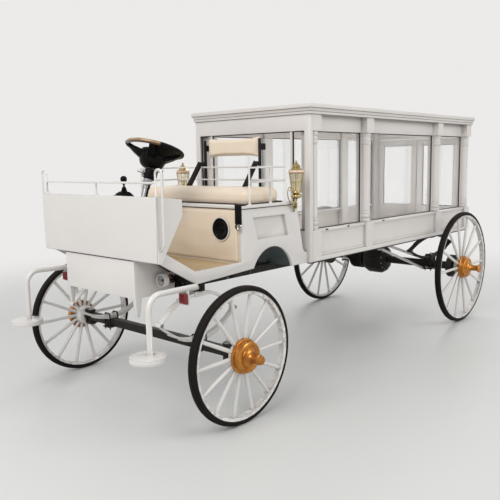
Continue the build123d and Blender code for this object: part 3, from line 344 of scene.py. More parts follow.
def build_settled_dust():
    """A mask of dust on faces that look up, broken by noise."""
    group, given, results = new_group("settled_dust", {"Amount": 0.3, "Scale": 9.0})
    facing_way = added(group, "SeparateXYZ", Vector=added(group, "NewGeometry").outputs["Normal"])
    upward = math_node(group, "MULTIPLY", facing_way.outputs["Z"], 0.75, clamp=True)
    lifted = math_node(group, "ADD", upward, 0.25)
    broken = math_node(group, "POWER", noise_on(group, given["Scale"], 6.0, 0.65), 1.6)
    dusty = math_node(group, "MULTIPLY", math_node(group, "MULTIPLY", lifted, broken), given["Amount"])
    wired(group, results, Mask=math_node(group, "MULTIPLY", dusty, 2.0, clamp=True))
    return group


def build_fine_grain():
    """A height of fine grain over slow waves, for paint, plastic and rubber."""
    group, given, results = new_group("fine_grain", {"Scale": 400.0, "Waves": 12.0, "Wave share": 0.5}, ["Height"])
    waves = math_node(group, "MULTIPLY", noise_on(group, given["Waves"], 2.0), given["Wave share"])
    wired(group, results, Height=math_node(group, "ADD", noise_on(group, given["Scale"], 2.0), waves))
    return group


def build_leather_grain():
    """Pebbles, with soft creases over them, and a mask of the creases."""
    group, given, results = new_group(
        "leather_grain", {"Scale": 420.0, "Creases": 7.0, "Crease share": 6.0}, ["Height", "Crease"])
    cells = added(group, "TexVoronoi", Vector=own_place(group), Scale=given["Scale"])
    cells.feature = "SMOOTH_F1"
    folds = added(group, "TexNoise", Vector=own_place(group), Scale=given["Creases"], Detail=3.0, Distortion=1.4)
    ridge = math_node(group, "ABSOLUTE", math_node(group, "SUBTRACT", folds.outputs["Fac"], 0.5))
    crease = math_node(group, "SUBTRACT", 1.0, math_node(group, "MULTIPLY", ridge, 9.0, clamp=True), clamp=True)
    deep = math_node(group, "MULTIPLY", math_node(group, "MULTIPLY", crease, -1.0), given["Crease share"])
    wired(group, results, Height=math_node(group, "ADD", cells.outputs["Distance"], deep), Crease=crease)
    return group


def build_painted_corner_shade():
    """A mask of painted shade in hollows, joints and inner corners, read from ambient occlusion."""
    group, given, results = new_group("painted_corner_shade", {"Amount": 1.0})
    corner = added(group, "AmbientOcclusion", Distance=SHADE_REACH)
    corner.samples = 6
    closed = math_node(group, "SUBTRACT", 1.0, corner.outputs["AO"], clamp=True)
    wired(group, results, Mask=math_node(group, "MULTIPLY", closed, given["Amount"], clamp=True))
    return group


UNEVEN_COAT = build_uneven_coat()
SETTLED_DUST = build_settled_dust()
FINE_GRAIN = build_fine_grain()
LEATHER_GRAIN = build_leather_grain()
CORNER_SHADE = build_painted_corner_shade()
print("effects", len(bpy.data.node_groups))

# %% Building a finish
FINISHES = {}


def blended(tree, mask, first, second):
    """A colour that goes from the first to the second by a mask."""
    mix = tree.nodes.new("ShaderNodeMix")
    mix.data_type = "RGBA"
    return wired(tree, mix, Factor=mask, A=first, B=second).outputs["Result"]


def new_finish(name, patch, contrast, roughness):
    """An empty finish under a name, with its tree, its shader and the mask of its uneven coat."""
    material = FINISHES[name] = bpy.data.materials.new(name)
    material.use_nodes = True
    tree = material.node_tree
    shader = tree.nodes["Principled BSDF"]
    mask = effect(tree, UNEVEN_COAT, Scale=patch, Contrast=contrast).outputs["Mask"]
    rough = added(tree, "MapRange", Value=mask, To_Min=roughness[0], To_Max=roughness[1])
    wired(tree, shader, Roughness=rough.outputs["Result"])
    return tree, shader, mask


def raised(tree, shader, grain, depth):
    """Send the height of a grain through a Bump node into the shader."""
    bump = added(tree, "Bump", Strength=GRAIN_STRENGTH, Distance=depth * MM, Height=grain.outputs["Height"])
    wired(tree, shader, Normal=bump.outputs["Normal"])


def finish(name, colour, shade, roughness, metallic=0.0, coat=0.0, patch=3.0, contrast=1.0,
           dust=0.0, dust_colour=DUST, corner_shade=0.0, level=0.5, grain=None):
    """A finish: an uneven coat between two colours, dust and painted corner shade on it, and a grain
    given by its scale, the scale and share of its waves, and its depth in millimetres."""
    tree, shader, mask = new_finish(name, patch, contrast, roughness)
    wired(tree, shader, Metallic=metallic, Coat_Weight=coat, Coat_Roughness=COAT_ROUGHNESS, Specular_IOR_Level=level)
    body_colour = blended(tree, mask, colour, shade)
    # Dust is real soil on upward faces; the corner mix is painted shade.
    for amount, group, dust_and_shade_colour in ((dust, SETTLED_DUST, dust_colour), (corner_shade, CORNER_SHADE, CORNER_SHADE_COLOUR)):
        if amount:
            body_colour = blended(tree, effect(tree, group, Amount=amount).outputs["Mask"], body_colour, dust_and_shade_colour)
    wired(tree, shader, Base_Color=body_colour)
    if grain:
        scale, waves, share, depth = grain
        raised(tree, shader, effect(tree, FINE_GRAIN, Scale=scale, Waves=waves, Wave_share=share), depth)
    return tree, shader


def leather(name, colour, shade, crease=1.0):
    """Cream leather: pebbled, creased, a little darker where it creases."""
    tree, shader = finish(name, colour, shade, (0.38, 0.52), patch=4.0, contrast=0.9, dust=0.08)
    pebbles = effect(tree, LEATHER_GRAIN, Scale=380.0, Creases=5.0, Crease_share=1.6 * crease)
    raised(tree, shader, pebbles, 0.5)
    plain = shader.inputs["Base Color"].links[0].from_socket
    soft = math_node(tree, "MULTIPLY", pebbles.outputs["Crease"], 0.14 * crease)
    wired(tree, shader, Base_Color=blended(tree, soft, plain, shade))


def clear(name, colour, roughness, ior=1.45, alpha=1.0):
    """Clear or coloured glass. Metallic and transmission stay plain numbers on the shader."""
    tree, shader = new_finish(name, 5.0, 1.0, roughness)[:2]
    wired(tree, shader, Base_Color=colour, Transmission_Weight=1.0, IOR=ior, Alpha=alpha)


# %% The finishes
# White paint and white wood get painted shade in their corners.
finish("white_paint", WARM_WHITE, tint(0.84, 0.828, 0.815), (0.16, 0.26), coat=0.35, patch=1.6, dust=0.10,
       corner_shade=0.45, grain=(260.0, 7.0, 2.0, 0.25))
finish("white_wood", WARM_WHITE, tint(0.835, 0.815, 0.80), (0.26, 0.40), coat=0.15, patch=2.2, dust=0.12,
       corner_shade=0.5, grain=(180.0, 5.0, 2.5, 0.35))
# Painted shade: the grey of the thin lines under the cornice steps and near the column ends.
finish("painted_groove_shade", tint(0.56, 0.53, 0.51), tint(0.44, 0.42, 0.40), (0.5, 0.6), patch=9.0)
finish("black_paint", tint(0.045, 0.045, 0.05), tint(0.12, 0.105, 0.10), (0.30, 0.55), patch=14.0, dust=0.14,
       level=0.14, grain=(500.0, 20.0, 1.0, 0.35))
finish("dark_liner", tint(0.17, 0.22, 0.22), tint(0.28, 0.34, 0.33), (0.5, 0.7), patch=6.0, dust=0.2,
       grain=(300.0, 7.0, 2.0, 0.5))
finish("black_plastic", tint(0.03, 0.03, 0.03), tint(0.07, 0.065, 0.065), (0.28, 0.42), patch=10.0, level=0.08,
       grain=(900.0, 30.0, 0.3, 0.2))
finish("black_leather", tint(0.035, 0.035, 0.035), tint(0.08, 0.07, 0.07), (0.35, 0.5), patch=10.0, level=0.1,
       grain=(700.0, 30.0, 0.3, 0.4))
finish("gasket", tint(0.07, 0.07, 0.07), tint(0.12, 0.115, 0.11), (0.5, 0.65), patch=20.0, dust=0.15,
       level=0.25, grain=(700.0, 40.0, 0.5, 0.2))
finish("tyre_rubber", tint(0.045, 0.04, 0.04), tint(0.10, 0.09, 0.085), (0.55, 0.75), patch=9.0, dust=0.22,
       dust_colour=RUBBER_DUST, level=0.12, grain=(600.0, 40.0, 0.6, 0.4))
finish("bare_steel", tint(0.66, 0.66, 0.67), tint(0.50, 0.50, 0.51), (0.28, 0.45), metallic=0.9, patch=12.0,
       dust=0.15, grain=(500.0, 25.0, 0.8, 0.25))
finish("chrome", tint(0.90, 0.90, 0.90), tint(0.80, 0.80, 0.81), (0.05, 0.12), metallic=1.0, patch=8.0)
finish("copper", tint(0.72, 0.50, 0.42), tint(0.40, 0.22, 0.17), (0.14, 0.3), metallic=1.0, patch=18.0, contrast=1.5)
finish("lamp_brass", tint(0.82, 0.74, 0.52), tint(0.50, 0.42, 0.24), (0.18, 0.34), metallic=1.0, patch=16.0,
       contrast=1.6, grain=(500.0, 60.0, 1.0, 0.25))
finish("hub_brass", tint(0.88, 0.62, 0.29), tint(0.55, 0.31, 0.12), (0.20, 0.36), metallic=0.95, patch=14.0,
       contrast=1.5, dust=0.08, grain=(500.0, 40.0, 1.0, 0.3))
finish("helm_wood", tint(0.74, 0.62, 0.44), tint(0.42, 0.28, 0.17), (0.12, 0.22), coat=0.8, patch=26.0,
       contrast=1.6, grain=(260.0, 70.0, 1.5, 0.15))
# Painted shade: a darker copy of the wheel's wood, for the rim's underside.
finish("wood_painted_underside_shade", tint(0.40, 0.28, 0.17), tint(0.26, 0.16, 0.09), (0.15, 0.25), coat=0.6)
# Painted highlight: the pale pink of the band under each lamp's crown.
finish("pale_pink_painted_highlight", tint(0.95, 0.88, 0.80), tint(0.88, 0.70, 0.62), (0.2, 0.34), coat=0.5, patch=42.0, contrast=2.0)
finish("candle", tint(0.93, 0.89, 0.78), tint(0.88, 0.82, 0.68), (0.4, 0.5), patch=30.0)
finish("red_lens", tint(0.56, 0.05, 0.12), tint(0.40, 0.03, 0.08), (0.12, 0.2), coat=0.6, patch=20.0)
leather("cream_leather", CREAM, tint(0.885, 0.815, 0.72))
leather("floor_mat", tint(0.82, 0.72, 0.56), tint(0.70, 0.60, 0.45), 0.6)
clear("clear_glass", tint(0.975, 0.985, 0.98), (0.0, 0.03), 1.2, 0.16)
clear("lantern_glass", tint(0.94, 0.91, 0.83), (0.10, 0.3), 1.2, 0.6)
clear("lens_glass", tint(0.95, 0.96, 0.97), (0.02, 0.08))
print("finishes", len(FINISHES))

# %% [markdown]
# The camera stands where the photographer stood: in front of the carriage's left front wheel,
# at eye height, turned back along the body. The carriage is lit by a pale room and three large
# soft lamps, over its front, its left side and its rear, so that white panels keep their shading.
# Three small soft lamps under the roof light the case as a bright hall would, unseen themselves.
# The far floor and the room melt into one plain backdrop.

# %% Camera
VIEW_PIXELS = 500
FOCAL_PIXELS = 630.154
CAMERA_PLACE = Vector((4.0118, 3.1610, 1.4894))
CAMERA_YAW, CAMERA_PITCH, CAMERA_ROLL = (math.radians(a) for a in (222.2819, -8.0312, -1.0409))

bpy.ops.object.camera_add(location=CAMERA_PLACE)
camera = bpy.context.object
ahead = Vector((math.cos(CAMERA_PITCH) * math.cos(CAMERA_YAW),
                math.cos(CAMERA_PITCH) * math.sin(CAMERA_YAW), math.sin(CAMERA_PITCH)))
aside = Vector((math.sin(CAMERA_YAW), -math.cos(CAMERA_YAW), 0.0))
above = aside.cross(ahead)
right = math.cos(CAMERA_ROLL) * aside + math.sin(CAMERA_ROLL) * above
upward = math.cos(CAMERA_ROLL) * above - math.sin(CAMERA_ROLL) * aside
camera.rotation_mode = "QUATERNION"
camera.rotation_quaternion = Matrix((right, upward, -ahead)).transposed().to_quaternion()
camera.data.sensor_width = 36.0
camera.data.lens = FOCAL_PIXELS / VIEW_PIXELS * camera.data.sensor_width
camera.data.clip_end = 200.0
bpy.context.scene.camera = camera
print("camera lens", round(camera.data.lens, 2))

# %% Floor, room and lamps
BACKDROP = tint(0.925, 0.92, 0.915)
ROOM_LIGHT, ROOM_STRENGTH = tint(0.93, 0.935, 0.94), 0.62
FLOOR_FADES_FROM, FLOOR_GONE_AT = 2.6, 6.5
SOFT_LAMP_SIZE = 4.0
SOFT_LAMPS = (((5.5, 1.0, 5.0), (0.6, 0, 0.8), 225), ((-1.0, 6.0, 4.5), (-0.2, 0, 0.9), 150),
              ((-5.5, -3.0, 4.5), (0, 0, 1.0), 140))
CASE_LAMP_Z, CASE_LAMP_SIZE, CASE_LAMP_POWER = 1.35, 0.25, 2.6


def seen_directly(tree):
    """A factor of 1 where the eye, a mirror or a pane looks, and 0 for light that falls on things."""
    path = tree.nodes.new("ShaderNodeLightPath")
    seen = math_node(tree, "ADD", path.outputs["Is Camera Ray"], path.outputs["Is Glossy Ray"], clamp=True)
    return math_node(tree, "ADD", seen, path.outputs["Is Transmission Ray"], clamp=True)


def show_mixed(tree, share, first, second, output):
    """Send a mix of two shaders to the tree's output."""
    mix = added(tree, "MixShader", Fac=share)
    tree.links.new(first.outputs[0], mix.inputs[1])
    tree.links.new(second.outputs[0], mix.inputs[2])
    wired(tree, tree.nodes[output], Surface=mix.outputs[0])


def soft_lamp(place, target, power):
    """A large square lamp that points at a target."""
    bpy.ops.object.light_add(type="AREA", location=place)
    lamp = bpy.context.object
    lamp.data.size, lamp.data.energy = SOFT_LAMP_SIZE, power
    lamp.rotation_mode = "QUATERNION"
    lamp.rotation_quaternion = (Vector(target) - Vector(place)).to_track_quat("-Z", "Y")


bpy.ops.mesh.primitive_plane_add(size=60.0, location=(0, 0, 0))
floor = bpy.context.object
floor.name = "floor"
floor_tree, floor_shader = finish("studio_floor", tint(0.84, 0.84, 0.83), tint(0.82, 0.82, 0.81), (0.35, 0.5),
                                  patch=1.0)
floor.data.materials.append(FINISHES["studio_floor"])
from_middle = added(floor_tree, "VectorMath")
from_middle.operation = "LENGTH"
floor_tree.links.new(own_place(floor_tree), from_middle.inputs[0])
fade = added(floor_tree, "MapRange", Value=from_middle.outputs["Value"],
             From_Min=FLOOR_FADES_FROM, From_Max=FLOOR_GONE_AT)
fade.interpolation_type = "SMOOTHSTEP"
show_mixed(floor_tree, math_node(floor_tree, "MULTIPLY", fade.outputs["Result"], seen_directly(floor_tree)),
           floor_shader, added(floor_tree, "Emission", Color=BACKDROP), "Material Output")

world = bpy.data.worlds.new("pale_room")
bpy.context.scene.world = world
world.use_nodes = True
room_tree = world.node_tree
room = wired(room_tree, room_tree.nodes["Background"], Color=ROOM_LIGHT, Strength=ROOM_STRENGTH)
show_mixed(room_tree, seen_directly(room_tree), room, added(room_tree, "Background", Color=BACKDROP), "World Output")

for place, target, power in SOFT_LAMPS:
    soft_lamp(place, target, power)
case_low, case_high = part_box("case_floor")
for share in (0.2, 0.5, 0.8):
    x = case_low.x + share * (case_high.x - case_low.x)
    bpy.ops.object.light_add(type="POINT", location=(x, 0, CASE_LAMP_Z))
    case_lamp = bpy.context.object
    case_lamp.data.shadow_soft_size, case_lamp.data.energy = CASE_LAMP_SIZE, CASE_LAMP_POWER
    case_lamp.visible_camera = case_lamp.visible_glossy = case_lamp.visible_transmission = False
bpy.context.scene.view_settings.view_transform = "Standard"
print("lamps", len(bpy.data.lights))

# %% [markdown]
# Panels, posts and frame. These parts are right as measured, so each gets a softened copy.
# The width of the soft edge says what the thing is made of: turned and planed wood has about
# two millimetres, sheet metal one, and the black frame under the floor hardly any. The recesses
# in the sides of the seat part are sunk deeper than measured, as the photograph shows them.

# %% Softened rigid parts
SOFT_EDGES = {
    "case_floor": 2.0, "case_side_panels": 1.5, "case_front_wall": 2.0, "case_frieze": 1.5, "case_roof": 1.5,
    "bier_deck": 1.5, "body_sides": 2.5, "seat_board": 3.0, "seat_back_panel": 0, "foot_floor": 1.0,
    "seat_riser": 0, "dash_box": 0, "front_locker": 2.5, "arch_liner": 0, "seat_rail": 0, "dash_rail": 0,
    "steps": 0, "backrest_brackets": 1.0, "chassis_frame": 1.5, "front_axle": 1.5, "rear_axle": 0,
    "drive_motor": 1.5, "radius_rods": 0, "knuckle_left": 0.8, "knuckle_right": 0.8, "tie_rod": 0,
    "case_posts": 0, "door_hinges": 0, "door_left": 1.5, "door_right": 1.5, "front_springs": 0.8,
    "rear_springs": 0.8,
}
OWN_FINISH = {"drive_motor": "black_paint"}
RECESS_MEASURED, RECESS_ADDED, RECESS_ABOVE_Z = 7 * MM, 24 * MM, 0.95
for node, width in SOFT_EDGES.items():
    softened(node, width, OWN_FINISH.get(node))
for node in ("side_glass", "front_glass", "door_glass_left", "door_glass_right"):
    pane = frame["nodes"][node]
    pane.data.materials.clear()
    pane.data.materials.append(FINISHES["clear_glass"])
recess_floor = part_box("body_sides")[1].y - RECESS_MEASURED
for vertex in bpy.data.objects["body_sides_dressed"].data.vertices:
    if abs(abs(vertex.co.y) - recess_floor) < 1.5 * MM and vertex.co.z > RECESS_ABOVE_Z:
        vertex.co.y -= math.copysign(RECESS_ADDED, vertex.co.y)
print("softened", len(SOFT_EDGES))

# %% [markdown]
# Road wheels. A tyre is one closed ring, with round shoulders and two shallow grooves in its
# tread. The wheel inside it keeps the measured rim and its fourteen spokes. The hub is turned
# brass: a flange against the spokes, a drum with beads, a hollow neck and a flared cap.

# %% Tyres and hubs
TYRE_SIDE = [(30, -22), (22, -25), (12, -24), (4.5, -19), (1, -12.5), (0.2, -9.5), (2.2, -9), (2.2, -7.4),
             (0, -6.9), (0, 0)]
HUB_DRUM = [(66, 6), (100, 7), (102, 9), (102, 22), (99, 25), (91, 26), (90, 30), (89, 56), (86, 60), (80, 63),
            (70, 63.5), (68, 61), (62, 61), (60, 65)]
HUB_NECKS = {
    "front": [(50, 66), (44, 68), (36, 73), (30, 82), (27.5, 95), (26.5, 112), (27, 124), (30, 128), (30, 133),
              (26, 136), (25, 150), (22, 154), (14, 155), (1, 155)],
    "rear": [(50, 67), (42, 71), (34, 78), (29, 88), (27, 100), (25, 125), (26, 145), (31, 153), (36, 159),
             (36.5, 166), (34, 170), (20, 171), (1, 171)],
}


def beads(count, ring_radius, height, size):
    """A ring of round beads about Z, as one piece, in millimetres."""
    bpy.ops.mesh.primitive_uv_sphere_add(segments=10, ring_count=6, radius=size * MM, location=(0, 0, 0))
    first = moved(bpy.context.object, Matrix.Translation(mm(ring_radius, 0, height)))
    return joined([first] + [copied(first, Matrix.Rotation(2 * math.pi * i / count, 4, "Z")) for i in range(1, count)])


for end, neck in HUB_NECKS.items():
    for side, name in SIDES:
        wheel = f"{end}_{name}"
        body = "road_wheel_" + wheel
        centre, size = middle("tyre_" + wheel)
        lying = Matrix.Translation(centre) @ Matrix.Rotation(-side * math.pi / 2, 4, "X")
        half = [(size.z / 2 / MM - drop, across) for drop, across in TYRE_SIDE]
        tyre = turned(half + [(r, -across) for r, across in reversed(half[:-1])], 128, ring=True)
        fitted([tyre], "rubber_tyre_" + wheel, "tyre_rubber", stands_for=["tyre_" + wheel], body=body, angle=40,
               at=lying)
        softened("wheel_" + wheel, 0)
        hub = [turned(HUB_DRUM + neck, 64), beads(28, 55.5, 65.5, 2.6), beads(12, 96, 24.5, 4)]
        fitted(hub, "turned_hub_" + wheel, "hub_brass", stands_for=["hub_" + wheel], body=body, angle=32, at=lying)
print("wheels", len(HUB_NECKS) * len(SIDES))

# %% [markdown]
# Bench cushions. Each starts as a block a little smaller than the space it may fill. The block
# is remeshed into even cells and blown up by a short cloth simulation, which gives the crown
# and the pulled-in sides of real padding. How far a point may travel is capped, so that the
# cushion stays in its place, and the bottom stays flat on its board.

# %% Padding by cloth simulation
SIM_FRAMES = 20
SEAM_DEPTH = 5 * MM


def padding(node, shrink, voxel, cap, pressure, rest_axis):
    """A padded block in a part's box, in millimetres. It rests on the low side of one axis."""
    shrink, voxel, cap = (v * MM for v in (shrink, voxel, cap))
    low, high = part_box(node)
    bpy.ops.mesh.primitive_cube_add(size=1.0, location=(low + high) / 2)
    pad = bpy.context.object
    pad.scale = [s - 2 * shrink for s in high - low]
    bpy.ops.object.transform_apply(location=True, rotation=True, scale=True)
    rest_shift = Vector((0, 0, 0))
    rest_shift[rest_axis] = -shrink
    moved(pad, Matrix.Translation(rest_shift))
    bevel = pad.modifiers.new("corner", "BEVEL")
    bevel.width, bevel.segments = min(high - low) * 0.28, 4
    remesh = pad.modifiers.new("even", "REMESH")
    remesh.mode, remesh.voxel_size = "VOXEL", voxel
    apply_modifiers(pad)
    start = [v.co.copy() for v in pad.data.vertices]
    cloth = pad.modifiers.new("puff", "CLOTH")
    cloth.settings.use_pressure, cloth.settings.uniform_pressure_force = True, pressure
    cloth.settings.effector_weights.gravity, cloth.settings.quality = 0.0, 5
    cloth.point_cache.frame_end = SIM_FRAMES
    for step in range(1, SIM_FRAMES + 1):
        bpy.context.scene.frame_set(step)
    apply_modifiers(pad)
    bpy.context.scene.frame_set(1)
    for vertex, origin in zip(pad.data.vertices, start):
        travel = vertex.co - origin
        if travel.length > cap:
            vertex.co = origin + travel * (cap / travel.length)
        vertex.co[rest_axis] = max(vertex.co[rest_axis], low[rest_axis])
    return pad


def near(value, line, width):
    """How close a value is to a line, from 0 at that width away to 1 on it."""
    share = max(0.0, 1.0 - abs(value - line) / width)
    return share * share * (3 - 2 * share)


def sewn(pad, node, across, line, width, reach):
    """Press a sewn line into the four sides of a pad, where it meets the line across one axis."""
    low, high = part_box(node)
    for axis in (a for a in (2, 0, 1) if a != across):
        for sign, face in ((1, high[axis]), (-1, low[axis])):
            for vertex in pad.data.vertices:
                share = near(vertex.co[across], line, width * MM) * near(vertex.co[axis], face, reach * MM)
                vertex.co[axis] -= sign * SEAM_DEPTH * share


def finished_padding(pad, name, node):
    pad.modifiers.new("smooth", "CORRECTIVE_SMOOTH")
    divided = pad.modifiers.new("divided", "SUBSURF")
    divided.levels = divided.render_levels = 1
    apply_modifiers(pad)
    bpy.ops.object.shade_smooth()
    fit_out(pad, name, "carriage", "cream_leather", stands_for=[node])
    print(name, len(pad.data.polygons))


# %% Seat cushion and backrest
cushion_low, cushion_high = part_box("seat_cushion")
seat_pad = padding("seat_cushion", 9, 7, 14, 4.0, 2)
for seam_z in (cushion_high.z - 24 * MM, cushion_low.z + 20 * MM):
    sewn(seat_pad, "seat_cushion", 2, seam_z, 7, 30)
finished_padding(seat_pad, "bench_cushion", "seat_cushion")

back_pad = padding("backrest_pad", 8, 5, 13, 5.0, 0)
sewn(back_pad, "backrest_pad", 0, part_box("backrest_pad")[0].x + 26 * MM, 6, 26)
finished_padding(back_pad, "backrest_cushion", "backrest_pad")

# %% [markdown]
# The seat front is a thin padded panel of soft leather, with a round hole for a speaker and
# slack wrinkles low down. It is a fine grid on the panel's face, pushed out by broad waves and
# rounded off at its rim, with a wall behind it.

# %% Leather panel under the bench
riser_low, riser_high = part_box("riser_pad")
speaker_middle = middle("speaker")[0]
HOLE_R = 66.5 * MM


def round_off(share):
    """The height of a rounded rim, from 0 at its edge to 1 where the share reaches 1."""
    return math.sqrt(max(0.0, 1 - (1 - min(max(share, 0.0), 1.0)) ** 2))


bpy.ops.mesh.primitive_grid_add(x_subdivisions=202, y_subdivisions=66, size=1.0, location=(0, 0, 0))
panel = bpy.context.object
moved(panel, Matrix.Diagonal((riser_high.y - riser_low.y, riser_high.z - riser_low.z, 1, 1)))
moved(panel, Matrix.Rotation(math.pi / 2, 4, "Z") @ Matrix.Rotation(math.pi / 2, 4, "X"))
moved(panel, Matrix.Translation((riser_low.x + 3 * MM, 0, (riser_low.z + riser_high.z) / 2)))
edit(panel)
choose_faces(panel, lambda c, n: math.hypot(c.y - speaker_middle.y, c.z - speaker_middle.z) < HOLE_R + 1 * MM)
bpy.ops.mesh.delete(type="FACE")
end_edit()
for vertex in panel.data.vertices:
    y, z = vertex.co.y, vertex.co.z
    from_edge = min(y - riser_low.y, riser_high.y - y, z - riser_low.z, riser_high.z - z)
    around = math.hypot(y - speaker_middle.y, z - speaker_middle.z)
    if around < HOLE_R + 3 * MM:
        vertex.co.y = speaker_middle.y + (y - speaker_middle.y) * HOLE_R / around
        vertex.co.z = speaker_middle.z + (z - speaker_middle.z) * HOLE_R / around
    low_share = max(0.0, 1 - (z - riser_low.z) / 0.22)
    slack = math.sin(y * 13 + math.sin(z * 21) * 1.3) * 0.5 + math.sin(z * 46 + math.sin(y * 7) * 2.2) * 0.5
    crown = round_off(min(from_edge, around - HOLE_R) / (22 * MM))
    vertex.co.x += crown * (7.5 + 2.4 * slack * (0.35 + low_share)) * MM
add_wall(panel, 2.4)
fitted([panel], "riser_leather", "cream_leather", stands_for=["riser_pad"], angle=60)
print("riser panel", len(panel.data.polygons))

# %% [markdown]
# Small helpers for the fittings. A round bar is swept along a line, a block gets rounded edges,
# and a bolt head is made once and set on wherever the real vehicle has one. A part's place on a
# sloping panel is found by a ray from the part to the panel, as a fitter would mark it.

# %% Bars, blocks, bolts and marks


def swept(points, radius, closed=False, thinning=0.0):
    """A round bar along straight lines, or along a smooth line where it thins toward its end."""
    curve = bpy.data.curves.new("line", "CURVE")
    curve.dimensions, curve.use_fill_caps = "3D", True
    curve.bevel_depth, curve.bevel_resolution = radius * MM, 3
    line = curve.splines.new("NURBS" if thinning else "POLY")
    line.points.add(len(points) - 1)
    for i, place in enumerate(points):
        line.points[i].co = (*place, 1.0)
        line.points[i].radius = 1.0 - thinning * i / (len(points) - 1)
    line.use_cyclic_u = closed
    if thinning:
        line.order_u, line.use_endpoint_u, line.resolution_u = 4, True, 6
    bar = bpy.data.objects.new("line", curve)
    bpy.context.scene.collection.objects.link(bar)
    only(bar)
    bpy.ops.object.convert(target="MESH")
    return bpy.context.object


def block(low, high, soft, segments=2):
    """A block between two opposite corners, its edges rounded by that many millimetres."""
    low, high = Vector(low), Vector(high)
    bpy.ops.mesh.primitive_cube_add(size=1.0, location=(low + high) / 2)
    piece = bpy.context.object
    piece.scale = [abs(b - a) for a, b in zip(low, high)]
    bpy.ops.object.transform_apply(location=True, rotation=True, scale=True)
    edit(piece)
    bpy.ops.mesh.bevel(offset=soft * MM, segments=segments, affect="EDGES")
    end_edit()
    return piece


def facing(place, direction, size=1.0):
    """The matrix that stands a piece made along Z on a place, pointing along a direction."""
    turn = Vector(direction).to_track_quat("Z", "Y").to_matrix().to_4x4()
    return Matrix.Translation(place) @ turn @ Matrix.Scale(size, 4)


def bolts(spots):
    """Bolt heads on washers, from (place, direction, size) spots, joined into one piece."""
    pattern = joined([turned([(7, -1), (7, 1), (6.5, 1.5), (5, 1.5)], 20),
                      turned([(5.1, 1.4), (5.1, 4.6), (4.5, 5.2), (2.6, 5.2), (2.6, 6.6), (2.2, 7.2)], 6)])
    heads = [copied(pattern, facing(*spot)) for spot in spots]
    bpy.data.objects.remove(pattern)
    return joined(heads)


def marked(node, place, direction):
    """Where a ray from a place meets a part, and the part's outward normal there."""
    mesh = frame["nodes"][node].data
    faces = BVHTree.FromPolygons([v.co for v in mesh.vertices], [f.vertices for f in mesh.polygons])
    return faces.ray_cast(Vector(place), Vector(direction).normalized())[:2]


def solids_of(node):
    """The box of each separate solid in a part, as (low, high)."""
    work = bmesh.new()
    work.from_mesh(frame["nodes"][node].data)
    bmesh.ops.remove_doubles(work, verts=work.verts, dist=MEASURED_MERGE_GAP)
    left, boxes = set(work.verts), []
    while left:
        chain = [left.pop()]
        for corner in chain:
            for other in (edge.other_vert(corner) for edge in corner.link_edges):
                if other in left:
                    left.remove(other)
                    chain.append(other)
        boxes.append(tuple(Vector([pick(v.co[i] for v in chain) for i in range(3)]) for pick in (min, max)))
    work.free()
    return sorted(boxes, key=lambda box: tuple(box[0]))


# %% [markdown]
# The steering wheel. A deep bowl carries four thick spokes that rise to the rim. The rim is a
# ring of round section, black where the hands rest and polished wood at both sides, with painted
# shade darkening the wood's underside. All of it is made about the upright axis and then leaned back
# with the column, as the joint says.

# %% Steering wheel
helm_joint = next(j for j in record["behaviour"]["joints"] if j["name"] == "helm_turn")
helm_centre, helm_up = Vector(helm_joint["pos_m"]), Vector(helm_joint["axis"])
leaned = Matrix((Vector((helm_up.z, 0, -helm_up.x)), Vector((0, 1, 0)), helm_up)).transposed().to_4x4()
HELM = Matrix.Translation(helm_centre) @ leaned
HELM_BOWL = [(16, -128), (42, -128), (50, -126), (61, -119), (70, -111), (76, -101), (81, -89), (84, -73),
             (86, -45), (86, -26), (82, -15), (76, -10), (70, -9), (68, -11), (64, -11), (62, -8), (52, -3),
             (30, 1), (1, 2.5)]
WOOD_MIDDLES, WOOD_HALF = (17, 197), 43


def in_sector(place, centre, half):
    """Whether a place lies within an angle, in degrees, of a direction about Z."""
    away = math.degrees(math.atan2(place.y, place.x)) - centre
    return abs((away + 180) % 360 - 180) < half


def on_wood(place):
    """Whether a place on the rim belongs to its wooden parts."""
    return any(in_sector(place, centre, WOOD_HALF) for centre in WOOD_MIDDLES)


bpy.ops.mesh.primitive_torus_add(major_segments=240, minor_segments=20, major_radius=175 * MM, minor_radius=14 * MM)
rim = bpy.context.object
for vertex in rim.data.vertices:
    if vertex.co.z < -4 * MM:
        vertex.co.z += 1.2 * MM * (1 + math.cos(math.atan2(vertex.co.y, vertex.co.x) * 60)) / 2
fitted([rim], "helm_rim", "black_plastic", "black_leather", body="steering_wheel", angle=60)
second_finish(rim, "helm_wood", lambda c, n: on_wood(c))
# The wood's underside gets the darker copy as painted shade.
second_finish(rim, "wood_painted_underside_shade", lambda c, n: n.z < -0.25 and on_wood(c))
moved(rim, HELM)

spoke = block(mm(52, -30, -74), mm(82, 30, -20), 0.01, 1)
edit(spoke)
for reach, rise, wide, tall in ((48, 20, 0.74, 0.70), (43, 25, 0.84, 0.58)):
    far = max(v.co.x for v in bmesh.from_edit_mesh(spoke.data).verts)
    choose_faces(spoke, lambda c, n: n.x > 0.9 and c.x > far - 1 * MM)
    push_out(mm(reach, 0, rise), (1, wide, tall))
end_edit()
round_edges = spoke.modifiers.new("round", "BEVEL")
round_edges.width, round_edges.segments = 5 * MM, 3
apply_modifiers(spoke)
helm_pieces = [copied(spoke, Matrix.Rotation(math.radians(a), 4, "Z")) for a in (45, 135, 225, 315)]
bpy.data.objects.remove(spoke)
switch_pad = turned([(80, -52), (169, -9), (170, 1), (150, 1), (124, -12), (80, -24)], 96, ring=True)
edit(switch_pad)
choose_faces(switch_pad, lambda c, n: not in_sector(c, 90, 45))
bpy.ops.mesh.delete(type="FACE")
bpy.ops.mesh.select_all(action="SELECT")
bpy.ops.mesh.fill_holes(sides=8)
end_edit()
